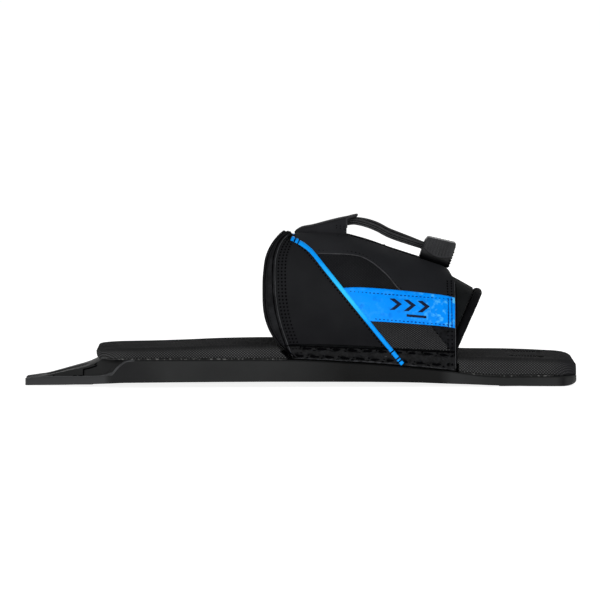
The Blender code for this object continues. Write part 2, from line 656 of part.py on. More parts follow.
# ---- lace, keeper and lock -------------------------------------------------------------------
def lace_loops(surface):
    """Webbing loops along both sides of the valley; each is an arch over the lace."""
    def ring(x, y0):
        mid, foot = crown(x) - LOOP_DROP, crown(x) - LOOP_FOOT_DROP
        turn = [pi * k / 8 for k in range(9)]
        outer = [(x, y0 + LOOP_OUT_R * cos(t), mid + LOOP_OUT_R * sin(t)) for t in turn]
        inner = [(x, y0 + LOOP_IN_R * cos(t), mid + LOOP_IN_R * sin(t)) for t in reversed(turn)]
        feet = [(x, y0 - LOOP_OUT_R, foot), (x, y0 - LOOP_IN_R, foot)]
        return [(x, y0 + LOOP_OUT_R, foot)] + outer + feet + inner + [(x, y0 + LOOP_IN_R, foot)]

    for number, x in enumerate(LOOP_XS, 1):
        for side in (-1, 1):
            rings = [ring(x + dx, side * LOOP_Y) for dx in (-LOOP_LONG / 2, LOOP_LONG / 2)]
            loft(f"lace_loop_{number}_{'near' if side < 0 else 'far'}", rings, surface)


def lacing_route(side):
    """Half of the lace: from the middle of the toe bar, crossing twice, to its turn inside the keeper."""
    def on(x, y, drop):
        return x, y, crown(x) - drop

    at_loop, low, high = LOOP_DROP + 0.1, 10.3, 5.1
    route = [on(82, -side * 0.4, 9.0), on(82, -side * 3.5, 9.0), on(80.2, -side * 7.6, 7.2)]
    hand, over = -side, side > 0
    for x in LOOP_XS:
        route += [on(x + dx, hand * LOOP_Y, at_loop) for dx in (4, 0, -4)]
        if x != LOOP_XS[-1]:
            mid = x - 11
            route += [on(mid + 3.4, hand * 4.6, 6.8 if over else 9.0), on(mid, 0, high if over else low),
                      on(mid - 3.4, -hand * 4.6, 6.8 if over else 9.0)]
            hand, over = -hand, not over
    turn = [(22, 6.8, 91.5), (15.5, 3.2, 91.0), (10, 2.4, 91.0), (5.6, 2.4, 92.4), (4.4, 2.4, 94.6),
            (6.6, 2.4, 96.6), (10, 2.4, 97.5), (13.6, 2.4, 98.4)]
    return route + [(x, hand * y, z) for x, y, z in turn]


def strand_route(side):
    """The free stretch of lace from inside the keeper to the lock; the far strand rides a little higher."""
    y, lift = side * 2.4, 0.35 * side

    def on_line(x):
        return 84.2 - 0.35 / cos(LACE_SLOPE) - (x - LOCK_AT[0]) * sin(LACE_SLOPE) / cos(LACE_SLOPE)

    return [(14, y, 98.5), (20, y, 100.1), (26, y, 101.6), (31, y, 102.5),
            (36, y, 103.1 + lift), (43, y, 101.8 + 2 * lift), (50, y, 99.2 + 2.6 * lift),
            (56, y, on_line(56) + 0.3 + 2.6 * lift), (62, y, on_line(62) + 2.6 * lift),
            (70, y, on_line(70) + 2 * lift), (78, y, on_line(78) + lift), (86, y, on_line(86) + lift),
            (93, y, on_line(93) + lift)]


def keeper(surface):
    """The hood that the two strands come out of; its lip reaches over them."""
    share = (1.0, 1.0, 1.0, 0.93, 0.74, 0.4, 0.0)
    drop = (None, 0.55, 2.4, 0.9, 0.25, 0.0, 0.0)

    def spot(i, j, thick):
        side, k = (1, j) if j <= 6 else (-1, 12 - j)
        reach = KEEPER_TIP_X if k >= 5 else KEEPER_X1
        x = KEEPER_X0 + (reach - KEEPER_X0) * i / 8
        top, low, half = value(KEEPER_TOP, x), linear(KEEPER_LOW, x), linear(KEEPER_HALF, x)
        y = side * (half - thick) * share[k]
        if k < 2:
            z = low if k == 0 else low + drop[1] * (top - 2.4 - low)
        else:
            z = max(top - drop[k] - thick, low + 0.6)
        return x, y, z

    sheet("lace_keeper", 9, 13, lambda i, j: spot(i, j, 0.0), lambda i, j: spot(i, j, KEEPER_THICK), surface)


def lock_point(u, v, w):
    """Lock coordinates: u along the lace away from the keeper, v along +Y, w square to both."""
    x, y, z = LOCK_AT
    rise, run = sin(LACE_SLOPE), cos(LACE_SLOPE)
    return x + u * run + w * rise, y + v, z - u * rise + w * run


def prism(name, outline, v0, v1, surface=None):
    """A solid with an outline of (u, w) points, from v0 to v1 across the lock."""
    return loft(name, [[lock_point(u, v, w) for u, w in outline] for v in (v0, v1)], surface)


def guide_box(u0, u1, v0, v1, w0, w1):
    return [[lock_point(u, v, w) for u, w in ((u0, w0), (u1, w0), (u1, w1), (u0, w1))] for v in (v0, v1)]


def lace_lock(looks):
    body = [(-8.6, -6.3), (-9.3, -5.2), (-9.5, 3.6), (-8.6, 4.9), (8.9, 6.9), (9.3, 5.9), (9.3, -6.4),
            (8.4, -7.6), (4, -7.4)]
    housing = prism("lock_housing", body, -8.8, 8.8, looks["lock"])
    boolean(housing, joined("lace_channel_guide", [guide_box(-12, 12, -5.4, 5.4, -4.0, 2.6)]), "DIFFERENCE")
    boolean(housing, joined("spring_pocket_guide", [guide_box(-6.5, 8.2, -1.6, 1.6, 3.5, 9)]), "DIFFERENCE")
    boolean(housing, joined("tooth_window_guide", [guide_box(-6.5, 1.1, -1.6, 1.6, 1, 5)]), "DIFFERENCE")
    smile = [(-8.8 + 17.6 * k / 8, 0.9 - 3.6 * sin(pi * (0.1 + 0.8 * k / 8))) for k in range(9)]
    top = [(8.9, 8.1), (8.2, 8.7), (-7.6, 6.8), (-8.8, 5.9)]
    slider = prism("lock_slider", smile + top, -11.0, 11.0, looks["slider"])
    under = [(-12, -9), (12, -9), (12, 7.85), (-12, 5.15)]
    hollow = [[lock_point(u, v, w) for u, w in under] for v in (-9.1, 9.1)]
    boolean(slider, joined("slider_hollow_guide", [hollow]), "DIFFERENCE")
    tooth = [(-5.6, 2.85), (-4.2, 2.85), (-2.4, 3.3), (-2.4, 6.7), (-5.6, 6.3)]
    hook = [[lock_point(u, v, w) for u, w in tooth] for v in (-1.2, 1.2)]
    boolean(slider, joined("slider_tooth_guide", [hook]), "UNION")
    turns, coil_r, wire_r, u0, u1, w0 = 4, 0.85, 0.25, 1.4, 7.8, 4.95
    spots = []
    for k in range(turns * 8 + 1):
        turn = 2 * pi * k / 8
        u = u0 + (u1 - u0) * k / (turns * 8)
        spots.append(lock_point(u, coil_r * cos(turn), w0 + coil_r * sin(turn)))
    tube("lock_spring", spots, wire_r, looks["steel"], sides=1)


def build():
    clear_scene()
    looks = {
        "plate": material("moulded_nylon", (0.022, 0.023, 0.025), 0.5),
        "foam": material("textured_foam", (0.028, 0.029, 0.030), 0.85),
        "neoprene": material("neoprene", (0.007, 0.007, 0.009), 0.8),
        "binding": material("edge_binding", (0.012, 0.012, 0.014), 0.8),
        "quarter": material("quarter_overlay", (0.013, 0.014, 0.016), 0.7),
        "vamp": material("vamp_overlay", (0.016, 0.017, 0.020), 0.7),
        "mesh": material("panel_mesh", (0.030, 0.030, 0.032), 0.75),
        "hem": material("hem_overlay", (0.018, 0.018, 0.020), 0.75),
        "gusset": material("toe_gusset_overlay", (0.012, 0.013, 0.015), 0.7),
        "band": material("blue_film", (0.002, 0.30, 0.93), 0.25),
        "webbing": material("loop_webbing", (0.012, 0.012, 0.013), 0.8),
        "lace": material("braided_lace", (0.020, 0.021, 0.023), 0.75),
        "lock": material("lock_plastic", (0.030, 0.031, 0.034), 0.4),
        "slider": material("slider_plastic", (0.038, 0.039, 0.042), 0.45),
        "steel": material("stainless_steel", (0.55, 0.55, 0.56), 0.3, 1.0),
    }
    clearance = screw_clearance()
    boolean(base_plate(looks["plate"]), clearance, "DIFFERENCE")
    footbed(looks["foam"])
    liner(looks["neoprene"], clearance)
    rear_binding(looks["binding"])
    toe_collar(looks["neoprene"])
    tongue(looks["quarter"])
    for side in (-1, 1):
        side_panels(side, looks)
        clamp_strip(side, looks["steel"], clearance)
        where = "near" if side < 0 else "far"
        tube(f"lacing_{where}", smooth_route(lacing_route(side), 3.5), LACE_R, looks["lace"])
        tube(f"lace_strand_{where}", smooth_route(strand_route(side), 5.0), LACE_R, looks["lace"])
    clamp_screws(looks["steel"], looks["steel"])
    lace_loops(looks["webbing"])
    keeper(looks["vamp"])
    lace_lock(looks)


build()
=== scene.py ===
"""The looks of the rear toe plate binding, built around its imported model.

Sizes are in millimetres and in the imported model's frame: +X towards the toes, +Z up, the near side at
-Y. Meshes are in metres. The upper's pieces all lie on one arched surface, at small insets from it.
"""

from math import acos, asin, ceil, cos, exp, pi, radians, sin, sqrt

import bmesh
import bpy
from mathutils import Matrix, Vector, noise


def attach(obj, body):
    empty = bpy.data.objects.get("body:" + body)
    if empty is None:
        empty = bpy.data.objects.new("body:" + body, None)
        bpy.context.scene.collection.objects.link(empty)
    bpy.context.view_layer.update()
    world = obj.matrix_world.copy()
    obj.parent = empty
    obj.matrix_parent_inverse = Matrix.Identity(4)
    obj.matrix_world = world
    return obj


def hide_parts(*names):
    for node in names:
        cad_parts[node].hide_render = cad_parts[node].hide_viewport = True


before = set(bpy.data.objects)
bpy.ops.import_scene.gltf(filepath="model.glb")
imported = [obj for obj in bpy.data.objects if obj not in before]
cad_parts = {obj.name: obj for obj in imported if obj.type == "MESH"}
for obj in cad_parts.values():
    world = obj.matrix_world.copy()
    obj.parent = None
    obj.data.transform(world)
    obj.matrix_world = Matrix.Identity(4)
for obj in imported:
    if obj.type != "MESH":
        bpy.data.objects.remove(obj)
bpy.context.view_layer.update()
MM = 0.001
GAP = 0.3

# ---- shared outlines, the same as the model's -----------------------------------------------
PLATE_HALF_WIDTH = [(-171, 14.5), (-119, 42.5), (-108, 45.3), (-20, 47.5), (40, 50), (100, 52.5),
                    (161, 52.5)]
DECK_Z = [(-125, 17.7), (-109, 17.7), (-60, 17.6), (-4, 17.3), (12, 16.7), (29, 15.7), (51, 14.3),
          (73, 12.2), (90, 10.5), (105, 8.4), (118, 6.8), (130, 6.4), (175, 6.4)]
RAMP_Z = [(-175, 3.8), (-161.6, 6.3), (-152, 8.6), (-142.6, 10.9), (-138, 12.0), (-133, 13.6),
          (-128, 16.0), (-125, 17.7)]
RAIL_Z = [(-175, 4.4), (-161.6, 5.8), (-128, 7.2), (-123, 7.8), (-119, 7.9), (-116.5, 10.5),
          (-113.5, 13.6), (-109, 16.6), (-104, 17.1)]
LEDGE_Z = [(-175, 4.5), (-161.6, 5.9), (-128, 7.4), (-122.5, 8.6), (-119, 12.5), (-116.5, 15.3),
           (-113.5, 16.6), (-109, 17.5), (-104, 17.7)]
LEDGE_Y = [(-175, 0.5), (-125, 0.6), (-119, 3.5), (-113.5, 3.2), (-109, 1.6), (-104, 0.8)]
PAD_TOP = [(-129, 23.2), (-128.7, 23.7), (-128, 24.1), (-126.4, 24.4), (-116, 24.8), (-90, 25.2), (-70, 25.8),
           (-50, 26.5), (-25, 26.8), (0, 26.5), (20, 25.3), (50, 22.9), (80, 20.4), (98, 19.1), (108, 18.7),
           (127, 18.5), (146, 17.9), (159, 17.2), (165, 16.9), (170, 16.2), (172.5, 15.4), (174.2, 14.2),
           (175, 12.6)]
CROWN_Z = [(-24, 99.3), (-9, 99.3), (15, 98.9), (30, 97.4), (37.8, 95.4), (49.2, 91.7), (60, 87.8),
           (71.4, 84.0), (82, 80.4), (92, 76.8), (98.7, 74.0), (116, 66.6)]
VALLEY_DEEP = [(-10, 8.9), (12, 11.9), (86, 11.9), (98, 3.4), (120, 0.0)]
VALLEY_HALF = 15.0
TOE_TAPER = [(80, 0.0), (98.7, 3.2), (110, 4.8), (116, 5.5)]
SIDE_POWER, CROWN_POWER = 0.8, 0.85
UPPER_INSET = 1.2
PAD_X0, PAD_X1, PAD_CORNER_R, PAD_INSET = -129.0, 175.0, 16.0, 1.6
NOTCH_INSET, NOTCH_END_X = 8.7, 99.4
NOTCH_START = (-5.5, 17.7, 0.96)
FLANGE_REACH, FLANGE_THICK = 18.0, 2.0
TOE_EDGE_X, LACE_EDGE_Y, LACE_EDGE_Z = 98.4, 14.5, 92.0
HOLE_XS, HOLE_Y, HOLE_WIDE = (132.0, 156.0), 24.0, 15.0    # holes through the footbed
STRIPE = [(-5.4, 94.6), (-0.6, 92.1), (3.2, 89.7), (6.4, 87.2), (10.8, 82.3), (36, 50.7), (61, 19.3),
          (65.2, 14.2)]
STRIPE_HALF = 1.92             # half the stripe's width, measured along X
STRIPE_SEEN_HALF = 1.38        # half the raised piping's width, square to its run
SEAM = [(33.3, 83.8), (44.1, 80.2), (54.9, 71.6), (63.6, 61.6)]
SEAM_START_Z = 84.6            # where the curved seam leaves the stripe
REAR_SEAM = [(17.7, -4.1), (31, -9), (40.8, -12.1), (51.3, -14.3), (61.9, -15.4), (72.5, -15.6),
             (80.3, -15.2), (88, -13.2), (93.7, -9.8), (97.5, -4.8)]   # (z, x) of the quarter's rear edge
HEM_TOP = [(-9.5, 26.9), (98.4, 22.4)]
SCREW_XS, SCREW_INSET, SCREW_HOLE_R = [0.5, 28, 55, 81], 13.0, 2.4

# ---- lace and lock ---------------------------------------------------------------------------
LACE_R = 2.0
LOOP_XS = [74, 52, 30]
LOOP_Y, LOOP_DROP = 9.0, 5.9
LOOP_OUTER_R, LOOP_INNER_R = 3.3, 2.55
LOOP_LOWER = 0.45              # the seen loops sit this much lower
LACE_SLOPE = radians(20.0)
LOCK_AT = (88.4, 0.0, 84.2)
LOCK_GROWN, LOCK_LOWER = 1.06, 0.9     # the rounded outer skin is this much fuller and lower
SADDLE_HALF = 8.8              # half the length of the saddle's cheeks
KEEPER_X0, KEEPER_X1, KEEPER_TIP_X = -2.4, 30.2, 37.0
KEEPER_TOP = [(-2.4, 97.4), (1.8, 99.8), (8.4, 101.0), (17.3, 103.3), (26.2, 105.4), (32, 106.5),
              (37, 107.3)]
KEEPER_LOW = [(-2.4, 94.0), (12, 93.4), (22, 94.2), (30.2, 94.8), (37, 99.0)]
KEEPER_HALF = [(-2.4, 9.0), (6, 12.0), (37, 12.0)]

# ---- view and light --------------------------------------------------------------------------
VIEW_RISE = radians(3.15)      # the camera looks down by this much
VIEW_ROLL = radians(0.3)
VIEW_FAR = 4.2
VIEW_WIDE = 0.3785             # width of the view at the object
VIEW_AT = (0.0003, -0.05, 0.0555)
SENSOR = 36.0
FLOOR_REACH = 14.0             # metres from the middle to each edge of the floor


# ---- curves ----------------------------------------------------------------------------------
def value(knots, x):
    """Smooth curve through the knots, flat beyond its ends and without overshoot."""
    if x <= knots[0][0]:
        return knots[0][1]
    if x >= knots[-1][0]:
        return knots[-1][1]
    slopes = [(b[1] - a[1]) / (b[0] - a[0]) for a, b in zip(knots, knots[1:])]
    i = max(k for k in range(len(slopes)) if knots[k][0] <= x)

    def tangent(k):
        if k == 0 or k == len(slopes):
            return slopes[min(k, len(slopes) - 1)]
        before, after = slopes[k - 1], slopes[k]
        return 0.0 if before * after <= 0 else 2 * before * after / (before + after)

    (x0, v0), (x1, v1) = knots[i], knots[i + 1]
    wide = x1 - x0
    t = (x - x0) / wide
    return (v0 * (2 * t**3 - 3 * t**2 + 1) + v1 * (3 * t**2 - 2 * t**3)
            + tangent(i) * wide * (t**3 - 2 * t**2 + t) + tangent(i + 1) * wide * (t**3 - t**2))


def linear(knots, x):
    for (x0, v0), (x1, v1) in zip(knots, knots[1:]):
        if x <= x1:
            return v0 + (v1 - v0) * max(0.0, (x - x0) / (x1 - x0))
    return knots[-1][1]


def run_length(points):
    return sum(sqrt(sum((q - p) ** 2 for p, q in zip(a, b))) for a, b in zip(points, points[1:]))


def along(points, t):
    """The point at share t of a polyline's length."""
    left = t * run_length(points)
    for a, b in zip(points, points[1:]):
        run = sqrt(sum((q - p) ** 2 for p, q in zip(a, b)))
        if left <= run and run > 0:
            return tuple(p + (q - p) * left / run for p, q in zip(a, b))
        left -= run
    return points[-1]


def resampled(points, count):
    """count points at equal steps along a polyline."""
    steps = [0.0]
    for a, b in zip(points, points[1:]):
        steps.append(steps[-1] + sqrt(sum((q - p) ** 2 for p, q in zip(a, b))))
    made, k = [], 0
    for n in range(count):
        left = steps[-1] * n / (count - 1)
        while k < len(points) - 2 and steps[k + 1] < left:
            k += 1
        share = (left - steps[k]) / max(1e-9, steps[k + 1] - steps[k])
        made.append(tuple(p + (q - p) * min(1.0, share) for p, q in zip(points[k], points[k + 1])))
    return made


def rounded(points, fine=10):
    """A smooth curve through a polyline's points, in two or three dimensions."""
    first = tuple(2 * a - b for a, b in zip(points[0], points[1]))
    last = tuple(2 * a - b for a, b in zip(points[-1], points[-2]))
    ends = [first, *points, last]
    made = []
    for a, b, c, d in zip(ends, ends[1:], ends[2:], ends[3:]):
        for k in range(fine):
            t = k / fine
            made.append(tuple(0.5 * (2 * q + (r - p) * t + (2 * p - 5 * q + 4 * r - s) * t * t
                                     + (3 * q - p - 3 * r + s) * t**3) for p, q, r, s in zip(a, b, c, d)))
    return made + [points[-1]]


def spread(low, high, count):
    return [low + (high - low) * i / (count - 1) for i in range(count)]


def edge_steps(long, step, edges=(0.25, 0.7, 1.4)):
    """Shares from 0 to 1 with extra ones close to both ends, for a rounded edge."""
    inner = spread(edges[-1], long - edges[-1], max(3, ceil((long - 2 * edges[-1]) / step) + 1))
    return [p / long for p in (0, *edges[:-1], *inner, *(long - e for e in reversed(edges[:-1])), long)]


def ripple(x, y, z, size, high):
    """Gentle unevenness with features about size across."""
    return high * noise.noise(Vector((x, y, z)) / size)


# ---- the arched surface ----------------------------------------------------------------------
def deck(x):
    return value(DECK_Z, x)


def plate_half(x):
    return linear(PLATE_HALF_WIDTH, x)


def crown(x):
    return value(CROWN_Z, x)


def rear_x(h):
    low, high = 19.2 * abs((0.52 - h) / 0.52) ** 2.6, 14.5 * abs((h - 0.52) / 0.48) ** 3.5
    return -23.5 + (low if h < 0.52 else high)


def collar_x(h):
    return 91.4 + 22.4 * h**0.95


def height_share(angle):
    return max(0.0, cos(angle)) ** CROWN_POWER


def arch(x, angle, inset, valley=True, taper=False):
    """(y, z) on the cross-section at x; angle is 0 at the crown and +-90 degrees at the deck."""
    inset += value(TOE_TAPER, x) if taper else 0.0
    base = deck(x) + GAP
    half = plate_half(x) - UPPER_INSET - inset
    side = 1 if angle >= 0 else -1
    y = side * half * abs(sin(angle)) ** SIDE_POWER
    z = base + (crown(x) - inset - base) * height_share(angle)
    if valley and abs(y) < VALLEY_HALF:
        z -= value(VALLEY_DEEP, x) * (1 - abs(y / VALLEY_HALF) ** 3)
    return y, z


def angle_at_height(x, z):
    base = deck(x) + GAP
    share = min(1.0, max(0.0, (z - base) / (crown(x) - base)))
    return acos(share ** (1 / CROWN_POWER))


def angle_at_y(x, y):
    return asin((y / (plate_half(x) - UPPER_INSET)) ** (1 / SIDE_POWER))


def on_side(side, x, z, inset):
    """The point of the surface seen at (x, z) from the side."""
    y, high = arch(x, angle_at_height(x, z), inset, valley=False)
    return x, side * y, high


def where(side):
    return "near" if side < 0 else "far"


# ---- meshes ----------------------------------------------------------------------------------
def solid(name, points, faces, look, smooth=35):
    """A closed mesh from points in millimetres, with its faces turned outwards."""
    bm = bmesh.new()
    verts = [bm.verts.new(Vector(p) * MM) for p in points]
    for face in faces:
        bm.faces.new([verts[i] for i in face])
    bmesh.ops.recalc_face_normals(bm, faces=bm.faces)
    mesh = bpy.data.meshes.new(name)
    bm.to_mesh(mesh)
    bm.free()
    mesh.shade_smooth()
    mesh.set_sharp_from_angle(angle=radians(smooth))
    if look:
        mesh.materials.append(look)
    thing = bpy.data.objects.new(name, mesh)
    bpy.context.scene.collection.objects.link(thing)
    return thing


def ring_faces(rings, per_ring, first=0):
    faces = []
    for r in range(rings - 1):
        for k in range(per_ring):
            a, b = first + r * per_ring + k, first + r * per_ring + (k + 1) % per_ring
            faces.append((a, b, b + per_ring, a + per_ring))
    faces.append(tuple(first + k for k in range(per_ring)))
    faces.append(tuple(first + (rings - 1) * per_ring + k for k in range(per_ring)))
    return faces


def loft(name, groups, look, smooth=35):
    """One piece made of one or more closed shapes, each a list of rings."""
    points, faces = [], []
    for rings in groups:
        faces += ring_faces(len(rings), len(rings[0]), len(points))
        points += [p for ring in rings for p in ring]
    return solid(name, points, faces, look, smooth)


def skin_parts(rows, cols, outer, inner, first=0):
    """Points and faces of a closed skin: outer(i, j) and inner(i, j) give its two faces."""
    grid = rows * cols
    points = [outer(i, j) for i in range(rows) for j in range(cols)]
    points += [inner(i, j) for i in range(rows) for j in range(cols)]
    faces = []
    for i in range(rows - 1):
        for j in range(cols - 1):
            a = first + i * cols + j
            faces.append((a, a + 1, a + cols + 1, a + cols))
            faces.append((grid + a, grid + a + cols, grid + a + cols + 1, grid + a + 1))
    rim = [j for j in range(cols - 1)]
    rim += [i * cols + cols - 1 for i in range(rows - 1)]
    rim += [(rows - 1) * cols + j for j in range(cols - 1, 0, -1)]
    rim += [i * cols for i in range(rows - 1, 0, -1)]
    for a, b in zip(rim, rim[1:] + rim[:1]):
        faces.append((first + a, first + b, first + grid + b, first + grid + a))
    return points, faces


def skin(name, rows, cols, outer, inner, look, smooth=35):
    return solid(name, *skin_parts(rows, cols, outer, inner), look, smooth)


def cut(thing, name, groups, operation="DIFFERENCE"):
    """A Boolean with a guide made of closed shapes, applied at once."""
    guide = loft(name, groups, None)
    step = thing.modifiers.new("cut", "BOOLEAN")
    step.object = guide
    step.operation = operation
    step.solver = "EXACT"
    applied(thing)
    bpy.data.objects.remove(guide)


def applied(thing):
    """The piece's modifiers become its mesh."""
    graph = bpy.context.evaluated_depsgraph_get()
    mesh = bpy.data.meshes.new_from_object(thing.evaluated_get(graph), depsgraph=graph)
    thing.modifiers.clear()
    thing.data = mesh


def resmoothed(thing, angle):
    thing.data.shade_smooth()
    thing.data.set_sharp_from_angle(angle=radians(angle))


def bevelled(thing, wide, segments=2, limit=35):
    step = thing.modifiers.new("edge", "BEVEL")
    step.width = wide * MM
    step.segments = segments
    step.limit_method = "ANGLE"
    step.angle_limit = radians(limit)
    step.use_clamp_overlap = True
    applied(thing)
    resmoothed(thing, 50)


def from_cad(name, node, look, bevel, lift):
    """A piece with a CAD node's own shape, softened edges and a lift of its lower edge, by x."""
    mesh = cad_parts[node].data.copy()
    bm = bmesh.new()
    bm.from_mesh(mesh)
    bmesh.ops.remove_doubles(bm, verts=bm.verts, dist=0.005 * MM)
    bmesh.ops.dissolve_limit(bm, angle_limit=radians(0.4), verts=bm.verts, edges=bm.edges)
    for vert in bm.verts:
        if vert.co.z < 1.5 * MM:
            vert.co.z += linear(lift, vert.co.x / MM) * MM
    bm.to_mesh(mesh)
    bm.free()
    mesh.materials.clear()
    mesh.materials.append(look)
    thing = bpy.data.objects.new(name, mesh)
    bpy.context.scene.collection.objects.link(thing)
    bevelled(thing, bevel)
    return thing


def placed(thing, body, slot, *nodes):
    """The piece rides on a body and stands for CAD nodes, which it hides. The slot argument is not used."""
    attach(thing, body)
    if nodes:
        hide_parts(*nodes)
    return thing


def frames_along(points):
    """A point, a side vector and an up vector at each point of a path, without twist."""
    spots = [Vector(p) for p in points]
    up = Vector((0, 0, 1))
    made = []
    for k, p in enumerate(spots):
        ahead = (spots[min(k + 1, len(spots) - 1)] - spots[max(k - 1, 0)]).normalized()
        side = up.cross(ahead)
        if side.length < 0.05:
            side = made[-1][1] if made else Vector((0, 1, 0))
        side.normalize()
        up = ahead.cross(side).normalized()
        made.append((p, side, up))
    return made


def lace_mesh(name, route, radius, look, dark, upright, step=0.4, sides=32):
    """A flat braided lace with three plaits side by side, on edge or lying flat."""
    points = resampled(route, ceil(run_length(route) / step) + 1)
    rings = []
    for k, (p, side, up) in enumerate(frames_along(points)):
        wide, thin = (up, side) if upright else (side, up)
        end = min(1.0, 0.5 + min(k, len(points) - 1 - k) * step / 1.2)
        ring = []
        for n in range(sides):
            turn = 2 * pi * n / sides
            share = sin(turn)
            plait = round(share * 1.5)
            rib = 0.5 + 0.5 * abs(cos(1.5 * pi * share)) ** 0.7
            bump = 1 + 0.08 * sin(2 * pi * k * step / 1.7 + plait * pi + (0 if cos(turn) > 0 else 1.2))
            side_out = 0.68 * radius * (abs(cos(turn)) ** 0.5) * (1 if cos(turn) > 0 else -1) * rib * bump
            edge = radius * 1.03 * (0.97 + 0.03 * bump)
            ring.append(tuple(p + (wide * share * edge + thin * side_out) * end))
        rings.append(ring)
    thing = loft(name, [rings], look, smooth=60)
    # painted shade: faces in the grooves between the plaits take the dark material
    thing.data.materials.append(dark)
    for number, face in enumerate(thing.data.polygons):
        share = abs(sin(2 * pi * (number % sides + 0.5) / sides))
        face.material_index = int(0.2 < share < 0.4 and number < (len(points) - 1) * sides)
    return thing


def rope(name, route, radius, look, sides=12, uneven=0.0, step=1.0):
    """A plain round piping or roll along a path, with soft unevenness."""
    points = resampled(route, ceil(run_length(route) / step) + 1)
    rings = []
    for k, (p, side, up) in enumerate(frames_along(points)):
        end = min(k, len(points) - 1 - k) * step
        r = radius * min(1.0, 0.5 + 0.5 * end / max(radius, 0.2))
        ring = []
        for n in range(sides):
            turn = 2 * pi * n / sides
            grow = r + ripple(*p, 2.5, uneven)
            ring.append(tuple(p + (side * cos(turn) + up * sin(turn)) * grow))
        rings.append(ring)
    return loft(name, [rings], look, smooth=60)


def stitch_rings(a, b, out, radius, sink=0.35):
    """One stitch from a to b: a flattened capsule that dives into the fabric at both ends."""
    ahead = (b - a).normalized()
    side = ahead.cross(out).normalized()
    sections = ((0, 0.25, 1.0), (0.12, 0.75, 0.45), (0.5, 1.0, 0.0), (0.88, 0.75, 0.45), (1, 0.25, 1.0))
    turns = [2 * pi * n / 6 for n in range(6)]
    rings = []
    for share, size, deep in sections:
        middle = a.lerp(b, share) - out * radius * (deep + sink)
        rings.append([tuple(middle + (side * cos(t) + out * 0.8 * sin(t)) * radius * size) for t in turns])
    return rings


def stitched(name, rows, look):
    """Rows of stitches as one piece; each row is (points, outward function, pitch, length, radius)."""
    groups = []
    for points, outward, pitch, long, radius in rows:
        count = max(1, round(run_length(points) / pitch))
        for k in range(count):
            middle = (k + 0.5) / count
            half = long / 2 / run_length(points)
            a, b = Vector(along(points, middle - half)), Vector(along(points, middle + half))
            groups.append(stitch_rings(a, b, outward((a + b) / 2), radius))
    return loft(name, groups, look, smooth=60)


def away_from_middle(p):
    """Outward direction of the arched surface, close enough for a stitch."""
    return Vector((0, p.y, (p.z - 22) * 0.45)).normalized()


def upwards(_):
    return Vector((0, 0, 1))


def sideways(p):
    return Vector((0, 1 if p.y > 0 else -1, 0))


def sewn(name, side, rows, look, slot):
    """Rows of stitches on one side of the upper."""
    placed(stitched(f"{name}_{where(side)}", rows, look), "root", slot)


def bead(name, side, points, radius, look, slot, **shape):
    """A thin raised line along a path on one side."""
    placed(rope(f"{name}_{where(side)}", points, radius, look, **shape), "root", slot)


